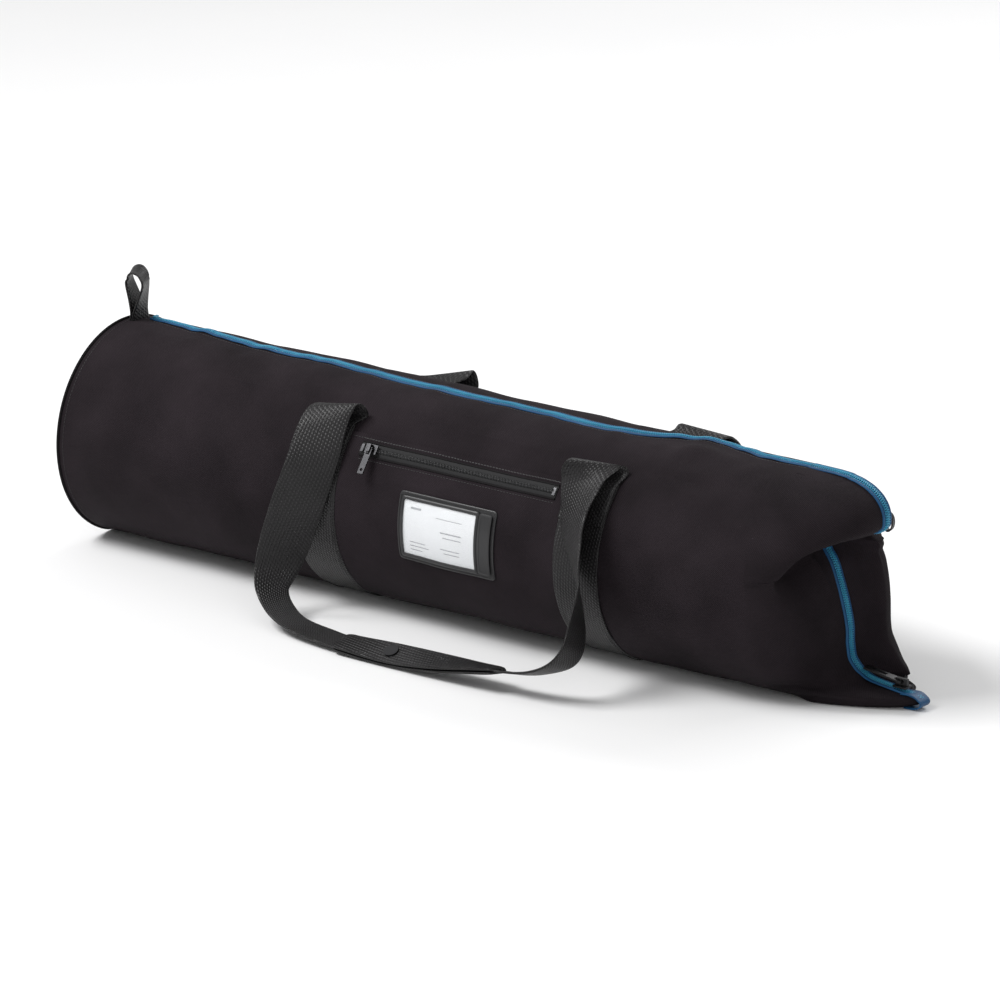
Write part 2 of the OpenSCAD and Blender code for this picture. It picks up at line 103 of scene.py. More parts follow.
# Where the main zipper's centre line wanders on the crest: (x, y)
ZIP_WEAVE = [
    (-0.452, 0.020), (-0.400, 0.017), (-0.330, 0.011), (-0.200, 0.005), (-0.060, -0.002),
    (0.030, 0.003), (0.105, -0.004), (0.160, 0.004), (0.205, 0.018), (0.236, 0.022), (0.265, 0.015),
    (0.300, 0.012), (0.335, 0.012),
]
# The prow's outline in the zipper's plane, up from the floor: (z, x)
PROW_LINE = [
    (0.4, 444), (5, 455), (9, 457), (12, 450), (14, 432), (17, 408), (22, 394), (30, 384), (45, 379),
    (62, 378), (84, 373), (105, 366), (122, 359), (132, 352), (140, 349), (147, 360), (154, 386),
    (159, 408), (163, 414), (170, 416), (178, 415), (186, 411), (193, 404), (199, 393), (202.7, 380),
    (204.7, 364), (205.2, 349), (205.3, 335),
]
TUCK_Z = 0.140
# The same outline without the tuck, for the sides of the prow
UNTUCKED = [row for row in PROW_LINE if not 90 < row[0] < 168]
# How boxy each side of the prow is in plan at each height, from pointed to blunt: (z, power)
FRONT_POWER = [
    (0, 1.35), (0.012, 1.4), (0.03, 1.7), (0.06, 1.8), (0.13, 1.9), (0.15, 2.2), (0.206, 2.2),
]
REAR_POWER = [(0, 1.35), (0.03, 1.8), (0.06, 1.9), (0.14, 1.8), (0.16, 1.3), (0.206, 1.25)]
# How far the rear side of the prow stands ahead of the zipper at each height: (z, distance)
REAR_WEB = [
    (0, 0), (0.002, 0), (0.006, 0.013), (0.010, 0.019), (0.014, 0.031), (0.020, 0.044), (0.030, 0.041),
    (0.055, 0.027), (0.085, 0.029), (0.110, 0.035), (0.128, 0.040), (0.140, 0.043), (0.146, 0.025),
    (0.152, 0.004), (0.156, 0), (0.206, 0),
]
# Hollows and cheeks of the prow: (push in mm, y, its width, z, its height)
PROW_DENTS = [
    (-13.0, -0.040, 0.024, 0.126, 0.022), (-4.0, 0.045, 0.015, 0.128, 0.02),
    (4.0, -0.075, 0.03, 0.075, 0.04), (3.0, 0.070, 0.03, 0.075, 0.04),
]
# How far the lip hangs down at its sides, and the half width of the flat toe
LIP_DROOP, TOE_HALF = 0.020, 0.042
# Half the gap between the zipper's two sides, a tape's width and its thickness
ZIP_GAP, TAPE_W, TAPE_TOP = 0.3 * MM, 6.2 * MM, 0.9 * MM
# The thickness of a loose strap, and how high the bands and the ends of the handles stand
STRAP_T, BAND_TOP, BOX_TOP = 2.2 * MM, 1.55 * MM, 3.95 * MM
# Angles round the tube: the stitched ends of the handles, the pocket, its zipper and the holder
BOX_LOW, BOX_HIGH = 24, 47
POCKET_LOW, POCKET_HIGH = -58, 44
POCKET_ZIP_ANGLE = 36
HOLDER_LOW, HOLDER_HIGH = -16, 20


# ---------- small mathematics ----------


def smoothstep(a, b, x):
    t = np.clip((np.asarray(x, float) - a) / (b - a), 0, 1)
    return t * t * (3 - 2 * t)


def bell(x, middle_x, width):
    return np.exp(-(((np.asarray(x, float) - middle_x) / width) ** 2))


def smooth_lookup(table, x):
    """A smooth curve through a table of (place, value) rows."""
    xs, ys = np.array(table, float).T
    slope = np.gradient(ys, xs)
    i = np.clip(np.searchsorted(xs, x) - 1, 0, len(xs) - 2)
    h = xs[i + 1] - xs[i]
    u = np.clip((x - xs[i]) / h, 0, 1)
    return (
        (2 * u**3 - 3 * u**2 + 1) * ys[i]
        + (u**3 - 2 * u**2 + u) * h * slope[i]
        + (3 * u**2 - 2 * u**3) * ys[i + 1]
        + (u**3 - u**2) * h * slope[i + 1]
    )


def unit(v):
    return v / np.maximum(np.linalg.norm(v, axis=-1, keepdims=True), 1e-12)


def arc_length(points):
    return np.concatenate([[0], np.cumsum(np.linalg.norm(np.diff(points, axis=0), axis=1))])


def resample(points, step, *others):
    """The points, and any rows that go with them, at equal steps along their line."""
    s = arc_length(points)
    t = np.linspace(0, s[-1], max(2, int(round(s[-1] / step)) + 1))
    found = [
        np.stack([np.interp(t, s, a[:, k]) for k in range(a.shape[1])], 1)
        for a in (points, *others)
    ]
    return found if others else found[0]


def catmull(rows, count):
    """count points on the smooth curve through the rows."""
    p = np.array(rows, float)
    p = np.vstack([2 * p[0] - p[1], p, 2 * p[-1] - p[-2]])
    s = np.linspace(0, len(rows) - 1, count)
    k = np.minimum(s.astype(int), len(rows) - 2)
    u = (s - k)[:, None]
    a, b, c, d = p[k], p[k + 1], p[k + 2], p[k + 3]
    return 0.5 * (
        2 * b + (c - a) * u + (2 * a - 5 * b + 4 * c - d) * u**2 + (3 * b - a - 3 * c + d) * u**3
    )


def tangents(points):
    return unit(np.gradient(points, axis=0))


def skin_normals(points):
    """Outward normals of a skin whose rows climb and whose columns run to the far side."""
    return unit(np.cross(np.gradient(points, axis=1), np.gradient(points, axis=0)))


# ---------- mesh building ----------


class Shape:
    """Gathers grids, walls and small parts into one mesh."""

    def __init__(self):
        self.verts, self.faces, self.uvs, self.slots, self.count = [], [], [], [], 0

    def add(self, verts, faces, uvs, slot=0):
        """faces hold places in verts, and uvs has a pair for each corner of each face."""
        self.verts.append(np.asarray(verts, float).reshape(-1, 3))
        self.faces += [tuple(int(i) + self.count for i in f) for f in faces]
        self.uvs += [p for f in uvs for p in f]
        self.slots += [slot] * len(faces)
        self.count += len(self.verts[-1])

    def grid(self, points, uv, wrap=False, slot=0, flip=False):
        """A grid of points. With wrap, the last column joins the first, and uv has one more."""
        n, m = points.shape[:2]
        faces, uvs = [], []
        for i in range(n - 1):
            for j in range(m if wrap else m - 1):
                k = (j + 1) % m
                f = [i * m + j, (i + 1) * m + j, (i + 1) * m + k, i * m + k]
                t = [uv[i, j], uv[i + 1, j], uv[i + 1, j + 1], uv[i, j + 1]]
                faces.append(f[::-1] if flip else f)
                uvs.append(t[::-1] if flip else t)
        self.add(points, faces, uvs, slot)

    def wall(self, outer, inner, uv):
        """A sheet with thickness: slot 0 outside, 1 inside and 2 round its edge."""
        self.grid(outer, uv)
        self.grid(inner, uv, slot=1, flip=True)
        edges = [
            (outer[:, 0], inner[:, 0]), (outer[:, -1], inner[:, -1]),
            (outer[0], inner[0]), (outer[-1], inner[-1]),
        ]
        for a, b in edges:
            s = arc_length(a)
            t = np.stack([np.stack([s, 0 * s], 1), np.stack([s, 0 * s + WALL], 1)])
            self.grid(np.stack([a, b]), t, slot=2)

    def sweep(self, rings, slot=0):
        """A closed skin over rings of points, with both ends capped."""
        along = arc_length(rings.mean(1))
        around = arc_length(np.vstack([rings[len(rings) // 2], rings[len(rings) // 2][:1]]))
        uv = np.stack(np.meshgrid(along, around, indexing="ij"), -1)
        self.grid(rings, uv, wrap=True, slot=slot)
        for ring in (rings[0], rings[-1]):
            flat = [(p[0], p[1]) for p in ring]
            self.add(ring, [range(len(ring))], [flat], slot)

    def bars(self, centre, along, up, length, thick, tall, slot=0):
        """Small rounded bars, such as stitches and zipper teeth, one at each centre."""
        side = np.cross(along, up)
        rings = ((-0.5, 0.4), (-0.36, 1), (0.36, 1), (0.5, 0.4))
        turns = np.radians(np.arange(6) * 60)
        verts = np.stack([
            centre
            + along * share * length
            + size * (side * math.cos(a) * thick + up * math.sin(a) * tall)
            for share, size in rings
            for a in turns
        ], 1)
        one = [
            (r * 6 + k, r * 6 + (k + 1) % 6, r * 6 + 6 + (k + 1) % 6, r * 6 + 6 + k)
            for r in range(3)
            for k in range(6)
        ]
        one += [tuple(range(5, -1, -1)), tuple(range(18, 24))]
        faces = [tuple(i + 24 * b for i in f) for b in range(len(centre)) for f in one]
        flat = verts.reshape(-1, 3)[:, :2].tolist()
        self.add(verts, faces, [[flat[i] for i in f] for f in faces], slot)

    def stitches(self, path, up, pitch=3.4 * MM, thick=0.3 * MM, slot=0):
        """A row of thread stitches along a path. up has a direction for each point of it."""
        p, u = resample(path, pitch, np.broadcast_to(up, path.shape).copy())
        centre, along = (p[1:] + p[:-1]) / 2, unit(p[1:] - p[:-1])
        u = unit((u[1:] + u[:-1]) / 2)
        self.bars(centre, along, u, 0.76 * pitch, thick, 0.8 * thick, slot)

    def moved(self, place):
        self.verts = [place(v) for v in self.verts]
        return self

    def make(self, name, *materials):
        mesh = bpy.data.meshes.new(name)
        mesh.from_pydata(np.concatenate(self.verts).tolist(), [], self.faces)
        layer = mesh.uv_layers.new(name="UVMap")
        layer.data.foreach_set("uv", np.array(self.uvs, np.float32).ravel())
        for m in materials:
            mesh.materials.append(m)
        mesh.polygons.foreach_set("material_index", self.slots)
        mesh.polygons.foreach_set("use_smooth", [True] * len(self.faces))
        work = bmesh.new()
        work.from_mesh(mesh)
        bmesh.ops.remove_doubles(work, verts=work.verts, dist=1e-6)
        bmesh.ops.dissolve_degenerate(work, edges=work.edges, dist=1e-7)
        bmesh.ops.recalc_face_normals(work, faces=work.faces)
        for edge in work.edges:
            if len(edge.link_faces) == 2 and edge.calc_face_angle(0) > math.radians(50):
                edge.smooth = False
        work.to_mesh(mesh)
        work.free()
        obj = bpy.data.objects.new(name, mesh)
        bpy.context.scene.collection.objects.link(obj)
        return obj


def strap_profile(thick):
    """Round a flat strap: (share of the half width, extra width, height), with rounded edges."""
    r = thick / 2
    shares = np.linspace(-1, 1, 9)
    rim = [(r * math.cos(a), r * math.sin(a)) for a in np.radians([45, 0, -45])]
    top = [(f, 0, r) for f in shares]
    bottom = [(f, 0, -r) for f in shares[::-1]]
    return np.array(
        top + [(1, a, b) for a, b in rim] + bottom + [(-1, -a, -b) for a, b in rim]
    )


def strap_rings(centre, width, turn, profile, square=True):
    """Rings of a strap along its centre line. turn is the way its width points, and square sets
    it at right angles to the line."""
    t = tangents(centre)
    across = unit(turn - t * (turn * t).sum(1, keepdims=True)) if square else turn
    normal = unit(np.cross(t, across))
    half = np.asarray(width).reshape(-1, 1) / 2 - np.abs(profile[:, 1]).max()
    a = half * profile[:, 0] + profile[:, 1]
    return centre[:, None] + a[..., None] * across[:, None] + (
        profile[None, :, 2, None] * normal[:, None]
    )


# ---------- materials ----------


def shader(name, colour, rough, metallic=0.0, sheen=0.0, coat=0.0, shine=0.5):
    mat = bpy.data.materials.new(name)
    mat.use_nodes = True
    tree = mat.node_tree
    skin = tree.nodes["Principled BSDF"]
    skin.inputs["Base Color"].default_value = (*colour, 1)
    skin.inputs["Roughness"].default_value = rough
    skin.inputs["Metallic"].default_value = metallic
    skin.inputs["Specular IOR Level"].default_value = shine
    skin.inputs["Sheen Weight"].default_value = sheen
    skin.inputs["Sheen Roughness"].default_value = 0.5
    skin.inputs["Coat Weight"].default_value = coat
    return mat, tree, skin


def add_node(tree, kind, **inputs):
    node = tree.nodes.new("ShaderNode" + kind)
    for key, value in inputs.items():
        node.inputs[key.replace("_", " ")].default_value = value
    return node


def noise(tree, where, scale, detail=3.0):
    node = add_node(tree, "TexNoise", Scale=scale, Detail=detail)
    tree.links.new(where, node.inputs["Vector"])
    return node.outputs["Fac"]


def combine(tree, operation, a, b):
    node = tree.nodes.new("ShaderNodeMath")
    node.operation = operation
    for socket, value in zip(node.inputs, (a, b)):
        if isinstance(value, (int, float)):
            socket.default_value = value
        else:
            tree.links.new(value, socket)
    return node.outputs[0]


def colour_between(tree, factor, dark, light):
    ramp = tree.nodes.new("ShaderNodeValToRGB")
    ramp.color_ramp.elements[0].color = (*dark, 1)
    ramp.color_ramp.elements[1].color = (*light, 1)
    tree.links.new(factor, ramp.inputs["Fac"])
    return ramp.outputs["Color"]


def bump(tree, skin, height, distance, strength=1.0):
    node = add_node(tree, "Bump", Strength=strength, Distance=distance)
    tree.links.new(height, node.inputs["Height"])
    tree.links.new(node.outputs["Normal"], skin.inputs["Normal"])


def ribs(tree, uv, pitch, lean):
    """Waves of that pitch in metres, turned by lean degrees from the strip's length."""
    turn = add_node(tree, "Mapping", Rotation=(0, 0, math.radians(lean)))
    tree.links.new(uv, turn.inputs["Vector"])
    wave = add_node(tree, "TexWave", Scale=math.pi / 10 / pitch, Distortion=0.6, Detail=1.0)
    wave.inputs["Detail Scale"].default_value = 2.0
    tree.links.new(turn.outputs["Vector"], wave.inputs["Vector"])
    return wave.outputs["Fac"]


def woven(name, dark, light, pitch, leans, depth, rough, sheen, mottle=14.0, shine=0.15):
    """Cloth: two sets of threads at the given leans, uneven dye, and a soft nap."""
    mat, tree, skin = shader(name, dark, rough, sheen=sheen, shine=shine)
    coords = tree.nodes.new("ShaderNodeTexCoord")
    uv, place = coords.outputs["UV"], coords.outputs["Object"]
    threads = combine(
        tree, "MULTIPLY", ribs(tree, uv, pitch, leans[0]), ribs(tree, uv, pitch * 1.07, leans[1])
    )
    broad = noise(tree, place, mottle)
    fine = noise(tree, place, 900.0, 2.0)
    mix = combine(tree, "MULTIPLY_ADD", threads, 0.45)
    mix.node.inputs[2].default_value = -0.1
    shade = combine(tree, "ADD", mix, combine(tree, "MULTIPLY", broad, 0.8))
    shade = combine(tree, "ADD", shade, combine(tree, "MULTIPLY", fine, 0.3))
    shade = combine(tree, "SUBTRACT", shade, 0.2)
    tree.links.new(colour_between(tree, shade, dark, light), skin.inputs["Base Color"])
    worn = combine(tree, "MULTIPLY_ADD", broad, 0.18)
    worn.node.inputs[2].default_value = rough - 0.09
    tree.links.new(worn, skin.inputs["Roughness"])
    height = combine(tree, "ADD", threads, combine(tree, "MULTIPLY", fine, 0.35))
    bump(tree, skin, height, depth)
    return mat


def moulded(name, dark, light, rough, metallic=0.0, coat=0.0, grain=700.0, depth=0.03 * MM):
    """Plastic, rubber or plated metal with fine grain and faint handling marks."""
    mat, tree, skin = shader(name, dark, rough, metallic=metallic, coat=coat)
    place = tree.nodes.new("ShaderNodeTexCoord").outputs["Object"]
    broad, fine = noise(tree, place, 45.0, 5.0), noise(tree, place, grain, 3.0)
    tree.links.new(colour_between(tree, broad, dark, light), skin.inputs["Base Color"])
    worn = combine(tree, "MULTIPLY_ADD", fine, 0.22)
    worn.node.inputs[2].default_value = rough - 0.08
    tree.links.new(worn, skin.inputs["Roughness"])
    bump(tree, skin, fine, depth)
    return mat


def clear_film():
    mat, tree, skin = shader("window_film", (0.9, 0.92, 0.93), 0.12, coat=0.3)
    skin.inputs["Alpha"].default_value = 0.16
    place = tree.nodes.new("ShaderNodeTexCoord").outputs["Object"]
    bump(tree, skin, noise(tree, place, 60.0), 0.4 * MM, 0.4)
    return mat


FABRIC = woven(
    "black_polyester", (0.0055, 0.0041, 0.0050), (0.037, 0.0287, 0.0338), 1.3 * MM, (38, -52),
    0.26 * MM, 0.75, 0.008, shine=0.05
)
LINING = woven(
    "grey_lining", (0.03, 0.03, 0.033), (0.06, 0.06, 0.065), 0.9 * MM, (0, 90), 0.06 * MM, 0.55, 0.1
)
WEBBING = woven(
    "black_webbing", (0.0035, 0.0032, 0.0034), (0.031, 0.0295, 0.0308), 2.9 * MM, (36, -84),
    0.5 * MM, 0.38, 0.01, 20.0, 0.25
)
BINDING = woven(
    "black_binding", (0.005, 0.0044, 0.0048), (0.016, 0.0142, 0.0153), 1.2 * MM, (45, -45),
    0.15 * MM, 0.65, 0.01, shine=0.08
)
THREAD = moulded("black_thread", (0.008, 0.0075, 0.008), (0.024, 0.022, 0.024), 0.55, grain=2500.0)
BLUE_TAPE = woven(
    "blue_zip_tape", (0.0015, 0.033, 0.10), (0.008, 0.115, 0.27), 0.9 * MM, (0, 90), 0.1 * MM,
    0.42, 0.03, 30.0, 0.3
)
BLUE_COIL = moulded("blue_zip_coil", (0.012, 0.17, 0.33), (0.07, 0.42, 0.60), 0.36, coat=0.1)
BLACK_TAPE = woven(
    "black_zip_tape", (0.006, 0.006, 0.0065), (0.02, 0.02, 0.021), 0.9 * MM, (0, 90), 0.08 * MM,
    0.6, 0.1
)
BLACK_COIL = moulded("black_zip_coil", (0.008, 0.008, 0.009), (0.03, 0.03, 0.032), 0.34)
METAL = moulded(
    "dark_plated_metal", (0.028, 0.028, 0.03), (0.075, 0.075, 0.078), 0.34, metallic=1.0, coat=0.05,
    grain=1200.0, depth=0.015 * MM
)
RUBBER = moulded("holder_rubber", (0.008, 0.008, 0.009), (0.02, 0.0195, 0.021), 0.42, coat=0.08)
CARD_STOCK = moulded("card_stock", (0.72, 0.73, 0.75), (0.84, 0.85, 0.87), 0.55, grain=1500.0)
PRINT = moulded("card_print", (0.22, 0.23, 0.25), (0.32, 0.33, 0.35), 0.6)
FILM = clear_film()


def piece(obj, body, slot_name, *stands_for):
    """Rides obj on its body and hides the CAD nodes that it stands for."""
    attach(obj, body)
    return finish_piece(obj, stands_for)


def bent(obj, a, b, start, end, slot_name, *stands_for):
    """For a piece between two bodies: bakes its transform and hides the CAD nodes that it stands for,
    without riding it on either body.
    """
    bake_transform(obj)
    return finish_piece(obj, stands_for)


def finish_piece(obj, stands_for):
    if stands_for:
        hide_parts(*stands_for)
    return obj


# ---------- the soft tube ----------


def round_from_crest(angle):
    """Degrees from the crest, whichever way round the angle was counted."""
    return np.abs((np.asarray(angle, float) - 90 + 180) % 360 - 180)


def swell(x, angle):
    """How far the padded wall stands out of, or sinks into, the true cylinder."""
    a = np.radians(angle)
    held = smoothstep(TUBE_X, TUBE_X + 0.06, x) * (1 - smoothstep(PROW_X - 0.06, PROW_X, x))
    crest = round_from_crest(angle)
    fold = 1 - bell(crest, 90 - FOLD_ANGLE, 4)
    waves = (
        0.9 * np.sin(17 * x + 0.8) * np.cos(2 * a + 0.4)
        + 0.55 * np.sin(43 * x + 2 * a + 1.1)
        + 0.3 * np.sin(88 * x - 3 * a + 0.3)
    )
    pucker = (0.5 * np.sin(150 * x) + 0.35 * np.sin(237 * x + 1)) * bell(crest, 9, 7)
    sink = -1.6 * bell(crest, 0, 7) + 5.0 * bell(x, 0.232, 0.02) * bell(angle, 82, 8)
    return MM * held * (fold * waves + pucker + sink)


def rest_on_floor(z, floor):
    """Keeps z above the floor, with a soft turn where the two meet."""
    soft = 1.0 * MM
    return floor + soft * np.logaddexp(0, (z - floor) / soft)


def narrowed(points):
    """Draws both sides in towards the prow, so that the round of the corner starts on the tube."""
    x, y, z = np.moveaxis(points, -1, 0)
    far = np.clip((x - 0.255) / (PROW_X - 0.255), 0, 1.5) ** 2
    draw = np.where(y < ZIP_Y, 0.13, 0.05) * far * bell(z, 0.080, 0.060)
    return np.stack([x, ZIP_Y + (y - ZIP_Y) * (1 - draw), z], -1)


def tube_point(x, angle, height=0.0):
    """Points on the soft tube, or at a height over it."""
    x, angle, height = np.broadcast_arrays(
        np.asarray(x, float), np.asarray(angle, float), np.asarray(height, float)
    )
    a = np.radians(angle)
    r = TUBE_R + swell(x, angle) + height
    z = rest_on_floor(AXIS_Z + r * np.sin(a), BELLY_Z - height)
    return narrowed(np.stack([x, -r * np.cos(a), z], -1))


def tube_grid(x_range, angles, step=5 * MM):
    """Places (x, angle) over part of the tube. angles is two rows, or functions of x."""
    xs = np.linspace(*x_range, int(round((x_range[1] - x_range[0]) / step)) + 1)
    lo_a, hi_a = (a(xs) if callable(a) else np.full(len(xs), float(a)) for a in angles)
    span = np.radians(np.abs(hi_a - lo_a).max()) * TUBE_R
    t = np.linspace(0, 1, max(3, int(round(span / step)) + 1))
    angle = lo_a[:, None] + (hi_a - lo_a)[:, None] * t
    x = np.broadcast_to(xs[:, None], angle.shape)
    return x, angle, np.stack([x, np.radians(angle) * TUBE_R], -1)


def padded_wall(name, x_range, angles):
    """A stretch of the padded wall: outer cloth, lining inside and the edge between them."""
    x, angle, uv = tube_grid(x_range, angles)
    shape = Shape()
    shape.wall(tube_point(x, angle), tube_point(x, angle, -WALL), uv)
    return shape.make(name, FABRIC, LINING, BINDING)


def tube_strip(shape, x_range, angles, heights, step):
    """A flat strip on the tube, between two heights over it."""
    x, angle, uv = tube_grid(x_range, angles, step)
    shape.wall(tube_point(x, angle, heights[1]), tube_point(x, angle, heights[0]), uv)


def crest_angle(x, offset):
    """The angle of a line on the crest that runs offset to the far side of the zipper."""
    y = smooth_lookup(ZIP_WEAVE, x) + offset
    return np.degrees(np.arccos(-y / TUBE_R))


def front_edge(x):
    return crest_angle(x, -ZIP_GAP)


def rear_edge(x):
    return crest_angle(x, ZIP_GAP)


def make_tube():
    piece(
        padded_wall("belly_wall", (TUBE_X, PROW_X), (-180 - FOLD_ANGLE, FOLD_ANGLE)),
        "trunk", "outer_fabric", "belly_shell", "belly_foam", "belly_lining",
    )
    mouth = {"front": (FOLD_ANGLE, front_edge), "rear": (rear_edge, 180 - FOLD_ANGLE)}
    for side, angles in mouth.items():
        flap = side + "_flap"
        corner = padded_wall(f"{side}_top_corner", (TUBE_X, OPENING_END), angles)
        bent(
            corner, "trunk", flap, (OPENING_START, 0, 0), (OPENING_END, 0, 0), "outer_fabric",
            "sleeve_shell", "sleeve_foam", "sleeve_lining",
        )
        layers = [f"{side}_flap_{layer}" for layer in ("shell", "foam", "lining")]
        wall = padded_wall(f"{side}_top_wall", (OPENING_END, NOSE_START), angles)
        piece(wall, flap, "outer_fabric", *layers)
        wall = padded_wall(f"{side}_top_end", (NOSE_START, PROW_X), angles)
        bent(wall, "trunk", flap, *nose_ends(side), "outer_fabric", *layers)
        shape = Shape()
        fold = FOLD_ANGLE if side == "front" else 180 - FOLD_ANGLE
        covered = (fold - 6, fold + 6)
        tube_strip(shape, (OPENING_END, NOSE_START), covered, (-9.4 * MM, -8.6 * MM), 2 * MM)
        away = 1 if side == "front" else -1
        start, end = (tube_point(0, fold + away * d, -WALL) for d in (-4, 5))
        strip = shape.make(f"{side}_fold_lining", LINING, LINING, LINING)
        bent(strip, "trunk", flap, start, end, "lining")


def make_cap():
    """The padded round end with its seam, and the piping that binds it to the tube."""
    angles = np.arange(0, 360, 3.0)
    rim = tube_point(np.full(len(angles), TUBE_X), angles)
    hub = np.array([TUBE_X, 0, AXIS_Z - 1 * MM])
    shares = np.concatenate([np.linspace(1, 0.9, 6), np.linspace(0.86, 0.02, 22)])
    dome = 1.2 * MM + 5.5 * MM * (1 - shares**2) ** 0.7 - 1.2 * MM * bell(shares, 0.93, 0.02)
    around = np.radians(angles)
    ripple = 0.5 * MM * np.sin(9 * around)[None] * (shares**3 * (1 - shares))[:, None] * 4
    outer = hub + (rim - hub)[None] * shares[:, None, None]
    inner = outer.copy()
    outer[..., 0] = TUBE_X - dome[:, None] - ripple
    inner[..., 0] = TUBE_X + 6.8 * MM
    inner[..., 1:] = hub[1:] + (inner[..., 1:] - hub[1:]) * 0.92
    rings = np.concatenate([inner[::-1], outer])
    shape = Shape()
    flat = rings[..., 1:]
    uv = np.concatenate([flat, flat[:, :1]], 1)
    shape.grid(rings, uv, wrap=True)
    for ring in (rings[0], rings[-1]):
        shape.add(ring, [range(len(ring))], [ring[:, 1:]])
    cap = shape.make("end_cap_pad", FABRIC)
    piece(cap, "trunk", "outer_fabric", "end_cap_shell", "end_cap_foam", "end_cap_lining")

    bead = 1.4 * MM
    path = tube_point(np.full(len(angles), TUBE_X), angles, 0.6 * MM)
    path[:, 2] = np.maximum(path[:, 2], bead * 0.8)
    out = unit(path - hub)
    rings = np.stack(
        [path + bead * (out * math.cos(a) + np.array([1, 0, 0]) * math.sin(a))
         for a in np.radians(np.arange(0, 360, 36))], 1
    )
    rings[..., 2] = np.maximum(rings[..., 2], 0.1 * MM)
    rings = np.concatenate([rings, rings[:1]])
    shape = Shape()
    s = arc_length(path)
    around = np.linspace(0, 2 * math.pi * bead, 11)
    uv = np.stack(np.meshgrid(np.append(s, s[-1] + s[1]), around, indexing="ij"), -1)
    shape.grid(rings, uv, wrap=True)
    seam = tube_point(np.full(len(angles) + 1, TUBE_X + 6 * MM), np.append(angles, 360), 0.15 * MM)
    shape.stitches(seam, unit(seam - hub), slot=1)
    piece(shape.make("end_cap_piping_bead", BINDING, THREAD), "trunk", "piping", "end_cap_piping")


# ---------- prow and nose ----------


def prow_reach(z):
    """X of the prow's outline at height z."""
    return smooth_lookup(np.array(PROW_LINE) * MM, z)


def prow_grid(z, share, spread):
    """The prow's skin at heights z and shares of its width from -1 to 1. spread below 1 draws
    a row in to the middle line, for the bottom."""
    z, v = z[:, None], share[None]
    droop = LIP_DROOP * bell(z, TUCK_Z + 8 * MM, 22 * MM)
    lowered = z - droop * np.abs(v) ** 3
    power = np.where(v < 0, smooth_lookup(FRONT_POWER, z), smooth_lookup(REAR_POWER, z))
    out = np.maximum(1 - np.abs(v) ** power, 0) ** (1 / power)
    half = np.sqrt(np.maximum(TUBE_R**2 - (lowered - AXIS_Z) ** 2, (1 * MM) ** 2))
    toe = (1 - smoothstep(0.010, 0.026, z)) * smoothstep(0.0, 0.35, out)
    half = half + (np.maximum(half, TOE_HALF) - half) * toe
    side = smoothstep(0.70, 0.97, np.abs(v))
    untucked = smooth_lookup(np.array(UNTUCKED) * MM, z)
    x = PROW_X + (prow_reach(z) * (1 - side) + untucked * side - PROW_X) * out
    y_mid = ZIP_Y * out * (1 - np.abs(v))
    y = y_mid + half * v * spread[:, None]
    behind = y - ZIP_Y
    web = smoothstep(0.007, 0.026, behind) * (1 - smoothstep(0.034, 0.080, behind))
    x = x + smooth_lookup(REAR_WEB, z) * web
    return narrowed(np.stack([x, y, np.broadcast_to(lowered, x.shape)], -1))


def prow_soft(points):
    """Pushes the prow's skin in and out along its normals: a pleat, hollows, cheeks and slack."""
    x, y, z = np.moveaxis(points, -1, 0)
    ahead = smoothstep(PROW_X, PROW_X + 18 * MM, x)
    lean = y + 0.012 + 0.25 * (z - 0.125)
    pleat = 4.0 * bell(lean, 0, 3.2 * MM) * smoothstep(0.085, 0.125, z)
    dents = sum(deep * bell(y, py, wy) * bell(z, pz, wz) for deep, py, wy, pz, wz in PROW_DENTS)
    toe_fold = -2.4 * bell(z, 0.0175, 0.0035) * smoothstep(0.10, 0.03, np.abs(y - ZIP_Y))
    slack = 1.3 * np.sin(70 * z + 30 * y + 0.4) * np.sin(46 * y + 1.2) * smoothstep(0.02, 0.06, z)
    near_zip = 1 - bell(y, ZIP_Y, 9 * MM)
    push = MM * ahead * (near_zip * (dents + slack) + pleat + toe_fold)
    below = 1 - smoothstep(TUCK_Z - 4 * MM, TUCK_Z, z)
    return points + skin_normals(points) * (push * below)[..., None]


def nose_soft(points):
    """Gives the nose its slack, joins its top to the tube and sinks it under the zipper."""
    x, y, z = np.moveaxis(points, -1, 0)
    ahead = smoothstep(PROW_X, PROW_X + 20 * MM, x) * smoothstep(TUCK_Z, TUCK_Z + 12 * MM, z)
    push = 1.0 * np.sin(60 * y + 2.0) * np.sin(48 * z + 0.5) - 1.5 * bell(y, -0.035, 0.02)
    near_zip = 1 - bell(y, ZIP_Y, 10 * MM)
    points = points + skin_normals(points) * (MM * push * ahead * near_zip)[..., None]
    top = PROW_LINE[-1][0] * MM
    crest = AXIS_Z + np.sqrt(TUBE_R**2 - y**2)
    meet = smoothstep(top - 2 * MM, top, z) * (1 - smoothstep(PROW_X, PROW_X + 30 * MM, x))
    sink = bell(y, ZIP_Y, 7 * MM) * smoothstep(PROW_X, PROW_X + 4 * MM, x) * smoothstep(0.18, 0.195, z)
    points[..., 2] += meet * np.clip(crest - z, 0, 1 * MM) - 0.9 * MM * sink
    return points


def outline(z_from, z_to, step):
    """Heights along the prow's outline at equal steps of its length."""
    z = np.linspace(z_from, z_to, 1200)
    s = arc_length(np.stack([prow_reach(z), z], 1))
    return np.interp(np.linspace(0, s[-1], int(s[-1] / step)), s, z)


